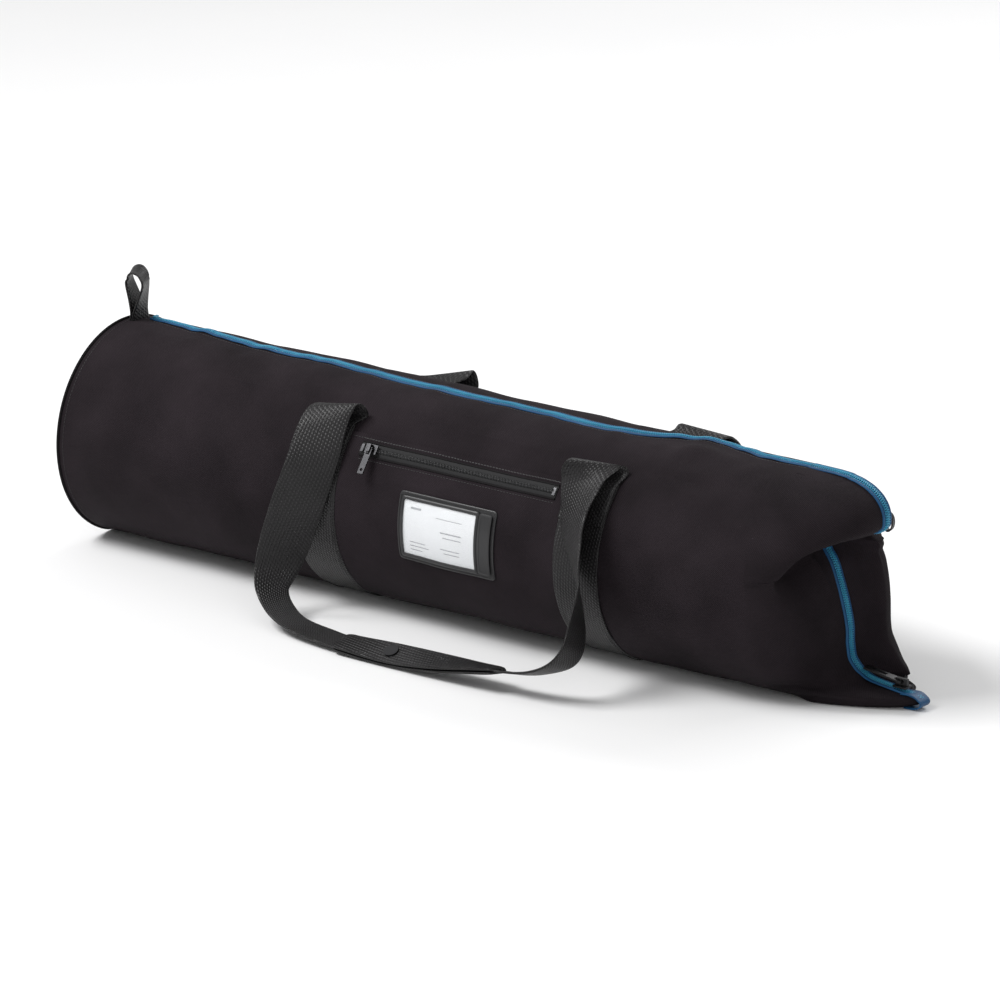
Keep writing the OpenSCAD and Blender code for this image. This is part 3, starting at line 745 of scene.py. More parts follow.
def nose_ends(side):
    """Where the nose would start to follow its flap and where it would follow it fully, set so that it
    would stay still along the fold and at the lip and move most at the crest. Nothing in this script
    bends it by them."""
    hinge = np.array(HINGE[f"{side}_flap_fold"]) * [0, 1, 1] + [PROW_X, 0, 0]
    fold = np.radians(FOLD_ANGLE)
    climb = np.array([0, -math.copysign(math.sin(fold), hinge[1]), math.cos(fold)])
    crest = np.array([PROW_X, ZIP_Y, AXIS_Z + TUBE_R]) - hinge
    lip = np.array([prow_reach(0.163), ZIP_Y, 0.163]) - hinge
    rise = climb / (crest @ climb)
    rise[0] = -(lip @ rise) / lip[0]
    return hinge, hinge + rise / (rise @ rise)


def lined_wall(name, outer, uv, *materials):
    """A thin lined skin behind its outer points."""
    inner = outer - skin_normals(outer) * LINED
    inner[..., 2] = np.maximum(inner[..., 2], 1.2 * MM)
    shape = Shape()
    shape.wall(outer, inner, uv)
    return shape.make(name, *materials)


def surface_uv(points):
    """Places on a skin in metres, across from its middle column and down."""
    across = np.linalg.norm(np.diff(points, axis=1), axis=2).cumsum(1)
    across = np.concatenate([np.zeros((len(points), 1)), across], 1)
    across -= across[:, across.shape[1] // 2, None]
    down = arc_length(points[:, points.shape[1] // 2])
    return np.stack([across, np.broadcast_to(down[:, None], across.shape)], -1)


def make_prow():
    floor_z = 0.9 * MM
    heights = outline(floor_z, TUCK_Z, 2.2 * MM)
    under = np.linspace(0, 1, 14)[:-1]
    z = np.concatenate([np.full(len(under), floor_z), heights])
    spread = np.concatenate([under, np.ones(len(heights))])
    share = np.sin(np.radians(90 * np.linspace(-1, 1, 97)))
    points = prow_soft(prow_grid(z, share, spread))
    points[..., 2] = np.maximum(points[..., 2], 0.3 * MM)
    prow = lined_wall("prow_body", points, surface_uv(points), FABRIC, LINING, BINDING)
    piece(prow, "trunk", "outer_fabric", "prow_shell")

    heights = outline(TUCK_Z, PROW_LINE[-1][0] * MM, 2.4 * MM)
    spread = np.ones(len(heights))
    for side, sign in (("front", -1), ("rear", 1)):
        share = sign * np.sin(np.radians(90 * np.linspace(0, 1, 49)))[::sign]
        points = nose_soft(prow_grid(heights, share, spread))
        nose = lined_wall(f"{side}_nose_lid", points, surface_uv(points), FABRIC, LINING, BINDING)
        bent(nose, "trunk", f"{side}_flap", *nose_ends(side), "outer_fabric", f"{side}_nose")


# ---------- the main zipper ----------


def crest_path(x_from, x_to):
    """The zipper's centre line along the crest, with its outward directions."""
    x = np.linspace(x_from, x_to, int((x_to - x_from) / (2 * MM)) + 2)
    angle = crest_angle(x, 0.0)
    p = tube_point(x, angle)
    return p, unit(tube_point(x, angle, 1 * MM) - p)


def outline_path(z_from, z_to):
    """The zipper's centre line along the prow's outline, with its outward directions."""
    z = np.linspace(z_from, z_to, 160)
    p = np.stack([prow_reach(z), np.full(len(z), ZIP_Y), z], 1)
    p = resample(p, 2 * MM)
    return p, unit(np.cross(tangents(p), np.array([0, 1.0, 0])))


def joined(*parts):
    """Paths with their directions, end to end."""
    return tuple(np.concatenate([part[k] for part in parts]) for k in (0, 1))


# Across one tape: (share of its width, share of its thickness)
TAPE_PROFILE = np.array([
    (0.0, 0.05), (0.0, 0.9), (0.3, 1.0), (0.52, 0.9), (0.62, 1.0), (0.7, 1.6), (0.8, 1.75), (0.9, 1.6),
    (0.97, 0.9), (1.0, 0.45), (1.0, 0.05)
])


def zip_half(name, path, up, side, pitch=2.1 * MM):
    """One side of the zipper: a tape with a raised cord along it, and its row of coil."""
    lateral = side * unit(np.cross(up, tangents(path)))
    across = ZIP_GAP + TAPE_PROFILE[:, 0] * TAPE_W
    rise = TAPE_PROFILE[:, 1] * TAPE_TOP
    rings = path[:, None] + across[:, None] * lateral[:, None] + rise[:, None] * up[:, None]
    tape = Shape()
    tape.sweep(rings)
    p, u = resample(path, pitch, up)
    sideways = side * unit(np.cross(u, tangents(p)))
    shift = tangents(p) * (pitch / 2 if side > 0 else 0)
    coil = Shape()
    centre = p + shift + sideways * 1.15 * MM + u * 1.65 * MM
    lean = unit(sideways + 0.28 * tangents(p))
    coil.bars(centre, lean, u, 3.5 * MM, 0.62 * MM, 0.85 * MM)
    edge = p + sideways * 2.75 * MM + u * 1.25 * MM
    coil.stitches(edge, u, pitch=2.4 * MM, thick=0.35 * MM)
    return tape.make(name + "_tape_cloth", BLUE_TAPE), coil.make(name + "_coil_teeth", BLUE_COIL)


def make_main_zip():
    corner = crest_path(SLEEVE_ZIP_X, OPENING_END)
    lid = crest_path(OPENING_END, NOSE_START)
    nose = joined(crest_path(NOSE_START, PROW_X - 1 * MM), outline_path(PROW_LINE[-1][0] * MM, TUCK_Z))
    ridge = outline_path(TUCK_Z - 1 * MM, 9 * MM)
    for side, sign in (("front", -1), ("rear", 1)):
        flap = side + "_flap"
        ends = (OPENING_START, 0, 0), (OPENING_END, 0, 0)
        tape, coil = zip_half(f"{side}_corner", *corner, sign)
        bent(tape, "trunk", flap, *ends, "zip_tape", "sleeve_zip_tapes")
        bent(coil, "trunk", flap, *ends, "zip_coil", "sleeve_zip_coils")
        tape, coil = zip_half(f"{side}_lid", *lid, sign)
        piece(tape, flap, "zip_tape", f"{side}_zip_tape")
        piece(coil, flap, "zip_coil", f"{side}_zip_coil")
        tape, coil = zip_half(f"{side}_nose", *nose, sign)
        bent(tape, "trunk", flap, *nose_ends(side), "zip_tape", f"{side}_zip_tape")
        bent(coil, "trunk", flap, *nose_ends(side), "zip_coil", f"{side}_zip_coil")
        tape, coil = zip_half(f"{side}_ridge", *ridge, sign)
        piece(tape, "trunk", "zip_tape", "prow_zip_tapes")
        piece(coil, "trunk", "zip_coil", "prow_zip_coils")
        stretches = {
            "corner": (SLEEVE_ZIP_X, OPENING_END), "wall": (OPENING_END, NOSE_START),
            "end": (NOSE_START, PROW_X),
        }
        for part, (a, b) in stretches.items():
            xs = np.linspace(a, b, int((b - a) / (2.6 * MM)))
            angle = crest_angle(xs, sign * 9.5 * MM)
            p = tube_point(xs, angle, 0.1 * MM)
            shape = Shape()
            shape.stitches(p, unit(tube_point(xs, angle, 1 * MM) - p))
            seam = shape.make(f"{side}_{part}_topstitch", THREAD)
            if part == "wall":
                piece(seam, flap, "outer_fabric")
            else:
                spread = ends if part == "corner" else nose_ends(side)
                bent(seam, "trunk", flap, *spread, "outer_fabric")


def make_zip_ends():
    """The blue tab that wraps the toe, and the plastic stop at the cap end."""
    lo, hi = low("zip_bottom_stop"), high("zip_bottom_stop")
    tip = hi[0] - 1.0 * MM
    rows = [
        (tip - 0.020, hi[2] - 3.0 * MM), (tip - 0.008, hi[2] - 2.2 * MM), (tip - 0.001, 0.0105),
        (tip + 0.0016, 0.0075), (tip, 0.004), (tip - 0.006, 0.0016), (tip - 0.016, 0.0012),
    ]
    line = catmull([(x, ZIP_Y, z) for x, z in rows], 40)
    shape = Shape()
    width = np.full(len(line), hi[1] - lo[1])
    turn = np.tile([0.0, 1, 0], (len(line), 1))
    shape.sweep(strap_rings(line, width, turn, strap_profile(1.2 * MM)))
    piece(shape.make("toe_tab", BLUE_TAPE), "trunk", "zip_tape", "zip_bottom_stop")

    lo, hi = low("zip_top_stop"), high("zip_top_stop")
    path, up = crest_path(lo[0], hi[0])
    half_way = len(path) // 2
    centre = path[half_way] + up[half_way] * 2.9 * MM
    shape = Shape()
    shape.bars(centre[None], np.array([[0.0, 1, 0]]), up[:1], hi[1] - lo[1], 2.2 * MM, 0.9 * MM)
    piece(shape.make("cap_end_stop", BLUE_COIL), "trunk", "zip_coil", "zip_top_stop")


# ---------- webbing ----------


def make_bands():
    """The two bands under the belly, stitched along both edges."""
    for side, x in BAND_X.items():
        t = np.linspace(BOX_HIGH, -180 - BOX_HIGH, 130)
        centre = tube_point(np.full(len(t), x), t, 0.8 * MM)
        out = unit(tube_point(np.full(len(t), x), t, 5 * MM) - tube_point(np.full(len(t), x), t))
        shape = Shape()
        width = np.full(len(t), 2 * BAND_HALF)
        turn = np.tile([1.0, 0, 0], (len(t), 1))
        shape.sweep(strap_rings(centre, width, turn, strap_profile(1.5 * MM)))
        for edge in (-1, 1):
            for inset in (2.5 * MM, 4.5 * MM):
                path = tube_point(np.full(len(t), x + edge * (BAND_HALF - inset)), t, BAND_TOP)
                path[:, 2] = np.maximum(path[:, 2], 0.3 * MM)
                shape.stitches(path, out, slot=1)
        band = shape.make(f"{side}_webbing_band", WEBBING, THREAD)
        piece(band, "trunk", "webbing", f"{side}_band")


# Each leg from its rise off the tube, over the fold and down to the grip: out from the fold line,
# up, along X, width, and the way its width points. Both twist as they hang, the right one until
# its inner face shows.
LEG = {
    "left": [
        (-3, -8, 7, 50, (1, 0, 0)), (2.5, -1.5, 8, 50, (1, 0.1, 0.05)),
        (9, 1.5, 6, 50, (0.97, 0.2, 0.12)), (16, -1, 4, 50, (0.94, 0.3, 0.15)),
        (28, -15, 3, 50, (0.87, 0.45, 0.15)),
        (44, -46, 3, 50, (0.88, 0.47, 0.01)), (54, -91, -8, 50, (0.87, 0.46, -0.18)),
        (59, -137, -22, 46, (0.73, 0.65, -0.21)), (70, -158, -22, 38, (0.68, 0.73, -0.12)),
        (80, -169, -15, 32, (0.43, 0.9, 0.05)), (93, -178, 6, 27, (0.3, 0.9, 0.25)),
        (102, -184, 34, 25, (-0.1, 0.95, 0.25)), (108, -186, 75, 24, (-0.1, 0.95, 0.25)),
    ],
    "right": [
        (-3, -8, 3, 50, (1, 0, 0)), (3, -0.5, 2.5, 50, (0.95, 0.25, -0.05)),
        (12, 1, 1, 50, (0.81, 0.57, -0.14)), (18, -6, -3, 48, (0.95, 0.3, 0)),
        (22, -15, -5, 46, (0.99, 0, 0.1)), (35, -34, -3, 49, (0.9, -0.36, 0.2)),
        (48, -52, 3, 50, (0.82, -0.49, 0.25)), (60, -81, 16, 50, (0.65, -0.69, 0.28)),
        (65, -97, 23, 48, (0.57, -0.76, 0.3)), (74, -117, 29, 44, (0.38, -0.87, 0.31)),
        (85, -136, 35, 38, (0.13, -0.95, 0.28)), (95, -148, 38, 34, (-0.02, -0.91, 0.38)),
        (103, -159, 32, 29, (-0.17, -0.91, 0.36)), (108, -168, 14, 25, (-0.09, -0.94, 0.32)),
        (110, -174, -10, 23, (-0.06, -0.95, 0.31)),
    ],
}
# The grip between the two legs: out, up, X, and the way its width points
GRIP = [
    (110, -186, -0.045, (-0.05, 0.96, 0.25)), (111, -185, 0.004, (0, 0.9, 0.43)),
    (111.5, -182, 0.055, (0, 0.95, 0.25)), (111, -178, 0.105, (0, 0.98, -0.1)),
]
# The rear handle is the front one turned about, with its folds lying over along X and lower
REAR_LEAN, REAR_DROP = 18 * MM, 5 * MM
ROW_STEPS = 14


def handle_point(x, out, up):
    """A place by the front handle's fold line. out and up are in mm."""
    return np.array([x, HANDLE_FOLD[1] - out * MM, HANDLE_FOLD[2] + up * MM])


def leg_rows(side, lean, drop):
    """The centre line of a leg. lean and drop move all but its rise."""
    rows = []
    for out, up, along, _, _ in LEG[side]:
        share = min(1, 1 + up / 186) * smoothstep(-8, 3, out)
        x = BAND_X[side] + along * MM - lean * share
        rows.append(handle_point(x, out, up - drop * share / MM))
    return rows


def grip_rows():
    return [handle_point(x, out, up) for out, up, x, _ in GRIP]


def grip_line(lean, drop):
    """The grip's centre line and the way its width points, from leg to leg."""
    ends = [leg_rows(side, lean, drop)[-1] for side in ("left", "right")]
    turns = [LEG["left"][-1][4], *[turn for *_, turn in GRIP], tuple(-np.array(LEG["right"][-1][4]))]
    return catmull([ends[0], *grip_rows(), ends[1]], 90), catmull(turns, 90)


def strap_line(side, lean, drop):
    """The whole strap from its stitched end on the band to inside the grip, and where it folds."""
    x = BAND_X[side]
    box = [tube_point(x, a, 2.75 * MM) for a in (BOX_LOW, 30, 36, 42, BOX_HIGH)]
    grip = grip_rows() if side == "left" else grip_rows()[::-1]
    rows = box + leg_rows(side, lean, drop) + grip[:1]
    widths = [50] * len(box) + [w for _, _, _, w, _ in LEG[side]] + [20]
    turns = [(1, 0, 0)] * len(box) + [turn for *_, turn in LEG[side]]
    turns.append(turns[-1])
    count = ROW_STEPS * (len(rows) - 1) + 1
    line, turn = catmull(rows, count), unit(catmull(turns, count))
    width = catmull([(w * MM,) for w in widths], count)[:, 0]
    return strap_rings(line, width, turn, strap_profile(STRAP_T), square=False), (
        ROW_STEPS * (len(box) + 1)
    )


def turned_about(points):
    """The front handle's points, given half a turn to make the rear handle's."""
    return points * [-1, -1, 1] + [BAND_X["left"] + BAND_X["right"], 0, 0]


def box_stitches(shape, side):
    """A stitched box with a cross in it, over the end of the leg."""
    x0, x1 = BAND_X[side] - 21 * MM, BAND_X[side] + 21 * MM
    a0, a1 = BOX_LOW + 2, BOX_HIGH - 3
    corners = [(x0, a0), (x1, a0), (x1, a1), (x0, a1), (x0, a0), (x1, a1)], [(x1, a0), (x0, a1)]
    for line in corners:
        for (xa, aa), (xb, ab) in zip(line, line[1:]):
            t = np.linspace(0, 1, 16)
            xs, angles = xa + (xb - xa) * t, aa + (ab - aa) * t
            p = tube_point(xs, angles, BOX_TOP)
            up = unit(tube_point(xs, angles, 6 * MM) - p)
            shape.stitches(p, up, slot=1)


def grip_profile():
    """Webbing folded lengthwise: a flat C with its slit on one side."""
    w, t, slit = 13.5, 3.1, 0.9
    turn = [(w - t + t * math.cos(a), t * math.sin(a)) for a in np.radians(np.arange(75, -80, -15))]
    inner = [(w - t - 1, -slit), (w - t - 0.4, 0), (w - t - 1, slit)]
    rows = [(-w, slit), (-w - 0.4, 1.6), (-w, t - 0.2), (-w + 3, t), (0, t), (w - t, t), *turn,
            (w - t, -t), (0, -t), (-w + 3, -t), (-w, 0.2 - t), (-w - 0.4, -1.6), (-w, -slit), *inner]
    return np.array(rows) * MM


def make_handle(name, place, lean=0.0, drop=0.0):
    """name is front or rear, and place moves the front handle's points to where they go."""
    body = f"{name}_handle"
    for side in ("left", "right"):
        rings, fold = strap_line(side, lean, drop)
        shape = Shape()
        shape.sweep(rings[: fold + 1])
        box_stitches(shape, side)
        riser = shape.moved(place).make(f"{name}_{side}_riser", WEBBING, THREAD)
        piece(riser, "trunk", "webbing", f"{name}_strap_anchors")

        shape = Shape()
        shape.sweep(rings[fold:])
        leg = shape.moved(place).make(f"{name}_{side}_leg", WEBBING)
        ends = [place(handle_point(BAND_X[side], *p)) for p in ((9, -3), (35, -34))]
        bent(leg, "trunk", body, *ends, "webbing", f"{name}_handle_legs")

    line, across = (a[9:-9] for a in grip_line(lean, drop))
    s = arc_length(line)
    round_off = np.minimum(s, s[-1] - s) / (10 * MM)
    taper = np.sqrt(np.clip(1 - (1 - np.clip(round_off, 0.02, 1)) ** 2, 0, 1))
    t = tangents(line)
    across = unit(across - t * (across * t).sum(1, keepdims=True))
    normal = unit(np.cross(t, across))
    normal *= np.sign(normal[:, 2:])
    profile = grip_profile()
    rings = (
        line[:, None]
        + (profile[:, 0] * (0.65 + 0.35 * taper[:, None]))[..., None] * across[:, None]
        + (profile[:, 1] * (0.65 + 0.35 * taper[:, None]))[..., None] * normal[:, None]
    )
    shape = Shape()
    shape.sweep(rings)
    for edge in (-11, 10):
        path = line[8:-8] + across[8:-8] * edge * MM + normal[8:-8] * 3.1 * MM
        shape.stitches(path, normal[8:-8], slot=1)
    grip = shape.moved(place).make(f"{name}_grip_wrap", WEBBING, THREAD)
    piece(grip, body, "webbing", f"{name}_handle_grip")


def make_haul_loop():
    lo, hi = low("haul_loop"), high("haul_loop")
    x, y = (lo[0] + hi[0]) / 2, (lo[1] + hi[1]) / 2
    r = (hi[0] - lo[0]) / 2 - STRAP_T / 2
    top = hi[2] - r - STRAP_T / 2
    foot = ((1.3, -1), (1.6, 8), (5, 20))
    rows = [(x - out * MM, lo[2] + up * MM) for out, up in foot]
    turns = np.radians((-8, 30, 60, 90, 120, 150, 188))
    rows += [(x - r * math.cos(a), top + r * math.sin(a)) for a in turns]
    rows += [(2 * x - p, z) for p, z in rows[2::-1]]
    line = catmull([(p, y, z) for p, z in rows], 90)
    sway = ((line[:, 2] - lo[2]) / (hi[2] - lo[2])) ** 2
    line[:, 0] -= 4 * MM * sway
    line[:, 1] += 1.5 * MM * sway
    shape = Shape()
    turn = np.array([0.0, 1, 0]) + np.array([-0.62, 0, 0.1]) * np.sqrt(sway)[:, None]
    width = np.full(len(line), hi[1] - lo[1])
    shape.sweep(strap_rings(line, width, turn, strap_profile(STRAP_T)))
    for z in (lo[2] + 4 * MM, lo[2] + 7 * MM):
        t = np.linspace(-10, 10, 9) * MM
        path = np.stack([np.full(9, x + 2.9 * MM), y + t, np.full(9, z)], 1)
        shape.stitches(path, np.array([1.0, 0, 0]), slot=1)
    piece(shape.make("haul_loop_webbing", WEBBING, THREAD), "trunk", "webbing", "haul_loop")


def make_nose_tab():
    """A loop of webbing beside the zipper, on the nose."""
    root = prow_grid(np.array([0.165]), np.array([0.17]), np.ones(1))[0, 0]
    turns = np.radians(np.arange(-150, 151, 20))
    rows = [root + [(3.5 + 5 * math.cos(a)) * MM, 0, 8 * MM * math.sin(a)] for a in turns]
    line = catmull(rows, 48)
    shape = Shape()
    turn = np.tile([-0.2, 1, 0], (len(line), 1))
    width = np.full(len(line), 7 * MM)
    shape.sweep(strap_rings(line, width, turn, strap_profile(1.5 * MM)))
    tab = shape.make("nose_tab_loop", WEBBING)
    bent(tab, "trunk", "rear_flap", *nose_ends("rear"), "webbing", "nose_tab")


# ---------- pocket ----------


def pocket_puff(x, angle):
    """The slack of the pocket's panel below the card holder and beside it."""
    tx = np.clip((x - POCKET[0][0]) / (POCKET[1][0] - POCKET[0][0]), 0, 1)
    ta = np.clip((angle - POCKET_LOW) / (HOLDER_LOW - POCKET_LOW), 0, 1)
    slack = 1.6 * np.sin(math.pi * tx) * np.sin(math.pi * ta)
    return MM * slack * (1 + 0.3 * np.sin(60 * x + np.radians(angle) * 4))


def make_pocket():
    x, angle, uv = tube_grid((POCKET[0][0], POCKET[1][0]), (POCKET_LOW, POCKET_HIGH), 3 * MM)
    hem = 0.5 * MM * bell(angle, POCKET_HIGH - 1.0, 1.0)
    outer = tube_point(x, angle, 0.95 * MM + pocket_puff(x, angle) + hem)
    shape = Shape()
    shape.wall(outer, tube_point(x, angle, 0.1 * MM), uv)
    panel = shape.make("pocket_cloth", FABRIC, LINING, BINDING)
    piece(panel, "trunk", "outer_fabric", "pocket_panel")

    shape = Shape()
    xs = np.linspace(POCKET[0][0] + 1 * MM, POCKET[1][0] - 1 * MM, 90)
    for a, h in ((POCKET_HIGH - 2.4, 1.25), (POCKET_LOW + 2, 1.1)):
        p = tube_point(xs, a, h * MM)
        shape.stitches(p, unit(tube_point(xs, a, 5 * MM) - p))
    for a in (POCKET_ZIP_ANGLE - 5.6, POCKET_ZIP_ANGLE + 5.4):
        zx = np.linspace(*POCKET_ZIP, 80)
        p = tube_point(zx, a, 1.1 * MM)
        shape.stitches(p, unit(tube_point(zx, a, 5 * MM) - p))
    piece(shape.make("pocket_topstitch", THREAD), "trunk", "outer_fabric")

    zip_x = np.linspace(*POCKET_ZIP, 120)
    base, pitch = 1.05 * MM, 1.7 * MM
    tape, coil, lips = Shape(), Shape(), Shape()
    for sign in (-1, 1):
        span = np.linspace(0.15, 4.0, 7) * sign + POCKET_ZIP_ANGLE
        rise = np.array([0.8, 0.85, 0.8, 0.75, 0.6, 0.4, 0.15]) * MM
        gx, ga = np.meshgrid(zip_x, span, indexing="ij")
        uv = np.stack([gx, np.radians(ga) * TUBE_R], -1)
        tape.wall(tube_point(gx, ga, base + rise), tube_point(gx, ga, base - 0.05 * MM), uv)
        tx = np.arange(POCKET_ZIP[0] + 4 * MM, POCKET_ZIP[1] - 4 * MM, pitch) + (sign > 0) * pitch / 2
        a = POCKET_ZIP_ANGLE + sign * 0.42
        centre = tube_point(tx, a, base + 1.45 * MM)
        up = unit(tube_point(tx, a, 9 * MM) - tube_point(tx, a))
        across = np.cross(np.array([1.0, 0, 0]), up)
        coil.bars(centre, unit(across + [0.25, 0, 0]), up, 2.6 * MM, 0.5 * MM, 0.7 * MM)
        around = np.radians(np.arange(0, 360, 45))
        lip = POCKET_ZIP_ANGLE + sign * 3.6 + np.degrees(0.9 * MM * np.cos(around) / TUBE_R)
        lips.sweep(tube_point(zip_x[:, None], lip, base + (0.5 + 0.75 * np.sin(around)) * MM))
    cloth = tape.make("pocket_tape_cloth", BLACK_TAPE, BLACK_TAPE, BLACK_TAPE)
    piece(cloth, "trunk", "pocket_tape", "pocket_zip_tape")
    piece(coil.make("pocket_coil_teeth", BLACK_COIL), "trunk", "pocket_coil", "pocket_zip_coil")
    piece(lips.make("pocket_zip_lips", BINDING), "trunk", "outer_fabric")


# ---------- card holder ----------


def rounded_box(x_range, angles, radius):
    """Points round a rectangle on the tube with round corners, as (x, arc) in metres."""
    (x0, x1), (s0, s1) = x_range, np.radians(angles) * TUBE_R
    rows = []
    for cx, cy, start in ((x1, s1, 0), (x0, s1, 90), (x0, s0, 180), (x1, s0, 270)):
        ox = cx - math.copysign(radius, cx - (x0 + x1) / 2)
        oy = cy - math.copysign(radius, cy - (s0 + s1) / 2)
        for a in np.radians(np.linspace(start, start + 90, 6)):
            rows.append((ox + radius * math.cos(a), oy + radius * math.sin(a)))
    return np.array(rows)


def on_holder(flat, height):
    """Places (x, arc) as points on the tube, at heights over it."""
    return tube_point(flat[..., 0], np.degrees(flat[..., 1] / TUBE_R), height)


def evened(ring, count):
    """A closed ring of (x, arc) as count points at equal steps."""
    closed = np.vstack([ring, ring[:1]])
    s = arc_length(closed)
    t = np.linspace(0, s[-1], count, endpoint=False)
    return np.stack([np.interp(t, s, closed[:, k]) for k in (0, 1)], 1)


def framed(shape, outer, inner, rows, count=180):
    """A frame between two outlines. rows are (share from the outer one, height in mm)."""
    a, b = evened(outer, count), evened(inner, count)
    rings = np.stack([on_holder(a + (b - a) * s, h * MM) for s, h in rows + rows[:1]])
    along = np.arange(count + 1) * MM
    uv = np.stack([np.stack([along, np.full(count + 1, k * MM)], 1) for k in range(len(rings))])
    shape.grid(rings, uv, wrap=True)


def holder_box(left, right, inset, radius):
    """A rounded box inside the holder. left and right are places, and inset is in degrees."""
    return rounded_box((left, right), (HOLDER_LOW + inset, HOLDER_HIGH - inset), radius)


def make_holder():
    x0, x1 = HOLDER
    window = (WINDOW[0] + 0.5 * MM, WINDOW[1] + 0.7 * MM)
    shape = Shape()
    framed(
        shape, holder_box(x0, x1, 0, 3.5 * MM),
        holder_box(x0 + 3.4 * MM, x1 - 3.4 * MM, 2.0, 2.0 * MM),
        [(0, 1.1), (0, 2.0), (0.12, 2.5), (0.35, 2.6), (0.5, 2.5), (0.62, 2.0), (0.8, 1.9),
         (1, 1.9), (1, 1.1)],
    )
    framed(
        shape, holder_box(x0 + 3.2 * MM, window[1] + 3.2 * MM, 1.9, 2.5 * MM),
        holder_box(*window, 4.0, 1.5 * MM),
        [(0, 1.4), (0, 2.6), (0.2, 3.6), (0.5, 4.1), (0.8, 4.0), (1, 3.6), (1, 3.0), (0.6, 2.9),
         (0.6, 1.4)],
    )
    back = (HOLDER_LOW + 0.8, HOLDER_HIGH - 0.8)
    tube_strip(shape, (x0 + 1 * MM, x1 - 1 * MM), back, (1.1 * MM, 1.75 * MM), 3 * MM)
    framed(
        shape, holder_box(window[1] + 3.5 * MM, x1 - 4.0 * MM, 2.6, 2.0 * MM),
        holder_box(window[1] + 6.0 * MM, x1 - 6.5 * MM, 4.4, 1.0 * MM),
        [(0, 3.0), (0, 3.6), (0.5, 4.0), (1, 3.9), (1, 3.0)],
    )
    strip = (HOLDER_LOW + 3.4, HOLDER_HIGH - 3.4)
    tube_strip(shape, (window[1] + 4.5 * MM, x1 - 5 * MM), strip, (3.0 * MM, 3.75 * MM), 2 * MM)
    rim = shape.make("card_holder_rim", RUBBER, RUBBER, RUBBER)
    piece(rim, "trunk", "holder_rubber", "card_holder_back", "card_holder_frame")

    shape = Shape()
    seam = evened(holder_box(x0 + 1.7 * MM, x1 - 1.7 * MM, 1.0, 2.0 * MM), 200)
    seam = np.vstack([seam, seam[:1]])
    p = on_holder(seam, 2.75 * MM)
    shape.stitches(p, unit(on_holder(seam, 8 * MM) - p), pitch=2.8 * MM, thick=0.28 * MM)
    piece(shape.make("card_holder_stitches", THREAD), "trunk", "holder_rubber")

    shape = Shape()
    film = (HOLDER_LOW + 3.6, HOLDER_HIGH - 3.6)
    tube_strip(shape, WINDOW, film, (2.75 * MM, 2.95 * MM), 3 * MM)
    piece(shape.make("card_window", FILM, FILM, FILM), "trunk", "window", "card_holder_window")


# Bars that stand for the card's printing: (from, to) in mm along it, angle and height in degrees
CARD_LINES = [
    (8, 20, 12.3, 1.1), (38, 68, 10.0, 0.35), (44, 68, 3.4, 0.7), (47, 68, 1.0, 0.5),
    (8, 26, -5.0, 0.5), (8, 30, -7.0, 0.5), (8, 22, -9.0, 0.5), (44, 66, -5.0, 0.5),
    (48, 66, -7.0, 0.5),
]


def ragged_edge(x):
    """The card's upper edge, worn uneven."""
    return HOLDER_HIGH - 4.25 + 0.22 * np.sin(210 * x) * np.sin(95 * x + 1)


def make_card():
    shape = Shape()
    tube_strip(shape, CARD, (HOLDER_LOW + 4.0, ragged_edge), (2.0 * MM, 2.35 * MM), 2 * MM)
    sheet = shape.make("name_card_sheet", CARD_STOCK, CARD_STOCK, CARD_STOCK)
    piece(sheet, "name_card", "card", "name_card")
    shape = Shape()
    for a, b, angle, tall in CARD_LINES:
        line, span = (CARD[0] + a * MM, CARD[0] + b * MM), (angle - tall / 2, angle + tall / 2)
        tube_strip(shape, line, span, (2.36 * MM, 2.42 * MM), 3 * MM)
    piece(shape.make("name_card_print", PRINT, PRINT, PRINT), "name_card", "card")


# ---------- hard parts kept from CAD ----------


def dress_metal():
    """The CAD's own sliders, pullers, stops and snaps, with softened edges and plated metal."""
    names = (
        "main_slider", "main_puller", "pocket_slider", "pocket_puller", "pocket_end_stops",
        "front_grip_snap", "rear_grip_snap",
    )
    for name in names:
        obj = frame["nodes"][name]
        obj.data.materials.clear()
        obj.data.materials.append(METAL)
        soft = obj.modifiers.new("soft_edges", "BEVEL")
        soft.width, soft.segments, soft.limit_method = 0.25 * MM, 2, "ANGLE"
        soft.angle_limit = math.radians(35)


# ---------- floor, light and camera ----------


def make_floor():
    bpy.ops.mesh.primitive_plane_add(size=60, location=(0, 0, 0))
    floor = bpy.context.object
    floor.name = "studio_floor"
    mat, tree, skin = shader("studio_floor", (0.86, 0.86, 0.86), 0.7)
    place = tree.nodes.new("ShaderNodeTexCoord").outputs["Object"]
    tint = colour_between(tree, noise(tree, place, 3.0), (0.84, 0.84, 0.845), (0.88, 0.88, 0.88))
    tree.links.new(tint, skin.inputs["Base Color"])
    floor.data.materials.append(mat)


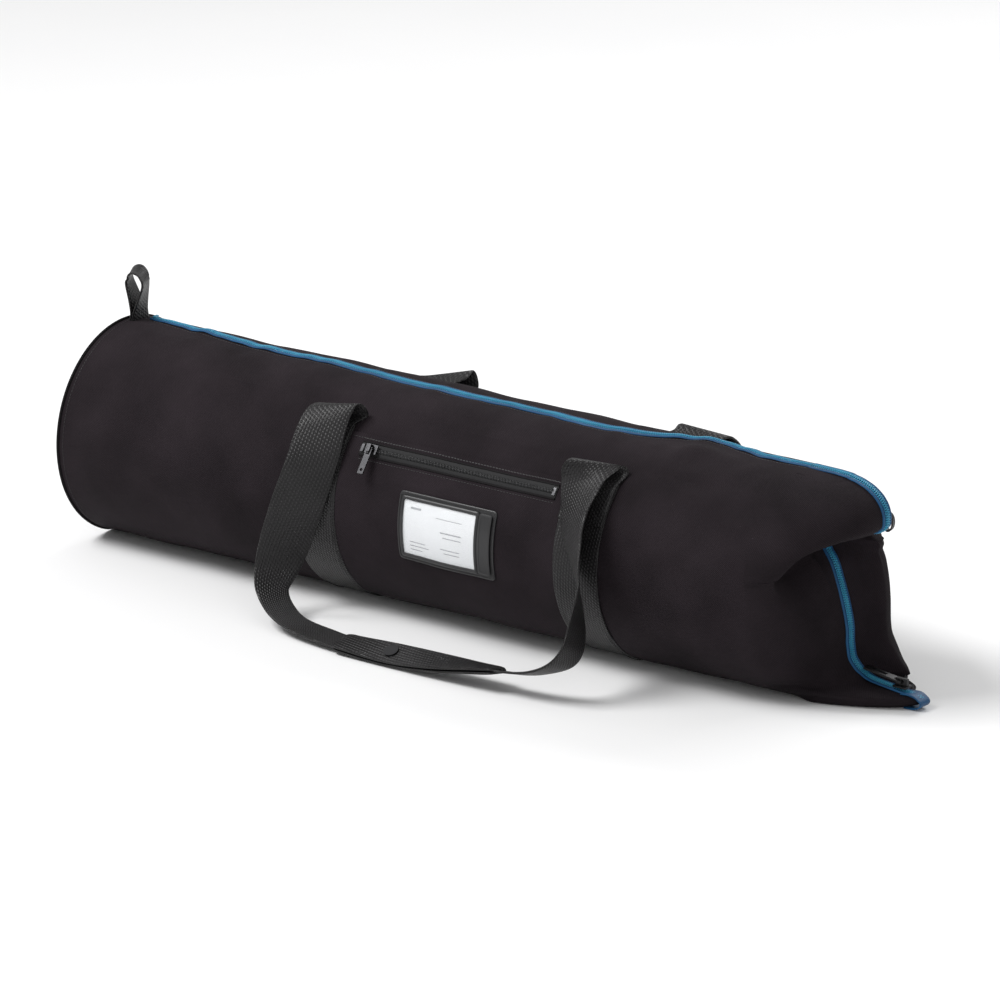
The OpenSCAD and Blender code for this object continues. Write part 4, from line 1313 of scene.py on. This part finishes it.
def add_light(name, place, aim, size, power):
    data = bpy.data.lights.new(name, "AREA")
    data.shape, data.size, data.size_y, data.energy = "RECTANGLE", *size, power
    lamp = bpy.data.objects.new(name, data)
    lamp.location = place
    lamp.rotation_euler = (Vector(aim) - Vector(place)).to_track_quat("-Z", "Y").to_euler()
    bpy.context.scene.collection.objects.link(lamp)


def make_light():
    world = bpy.data.worlds.new("studio")
    world.use_nodes = True
    world.node_tree.nodes["Background"].inputs["Color"].default_value = (1, 1, 1, 1)
    world.node_tree.nodes["Background"].inputs["Strength"].default_value = 0.45
    bpy.context.scene.world = world
    bpy.context.scene.view_settings.view_transform = "Standard"
    add_light("key", (-1.6, -1.6, 3.0), (-0.1, 0, 0.1), (2.0, 1.4), 128)
    add_light("fill", (2.6, -2.2, 1.6), (0.1, 0, 0.1), (1.8, 1.8), 14)
    add_light("back", (0.3, 2.6, 2.2), (0, 0, 0.1), (2.6, 1.0), 45)


CAMERA_TARGET = Vector((-0.008, 0, 0.11009))
CAMERA_YAW, CAMERA_RISE, CAMERA_REACH = math.radians(37.29), math.radians(17.74), 6.6265
FIELD_OF_VIEW = math.radians(8)


def make_camera():
    data = bpy.data.cameras.new("camera")
    data.sensor_width = 36
    data.lens = 18 / math.tan(FIELD_OF_VIEW / 2)
    camera = bpy.data.objects.new("camera", data)
    level = math.cos(CAMERA_RISE)
    back = Vector(
        (math.sin(CAMERA_YAW) * level, -math.cos(CAMERA_YAW) * level, math.sin(CAMERA_RISE))
    )
    camera.location = CAMERA_TARGET + back * CAMERA_REACH
    camera.rotation_euler = (-back).to_track_quat("-Z", "Y").to_euler()
    bpy.context.scene.collection.objects.link(camera)
    bpy.context.scene.camera = camera


make_camera()
make_floor()
make_light()
make_tube()
make_cap()
make_prow()
make_main_zip()
make_zip_ends()
make_bands()
make_handle("front", np.asarray)
make_handle("rear", turned_about, REAR_LEAN, REAR_DROP)
make_haul_loop()
make_nose_tab()
make_pocket()
make_holder()
make_card()
dress_metal()
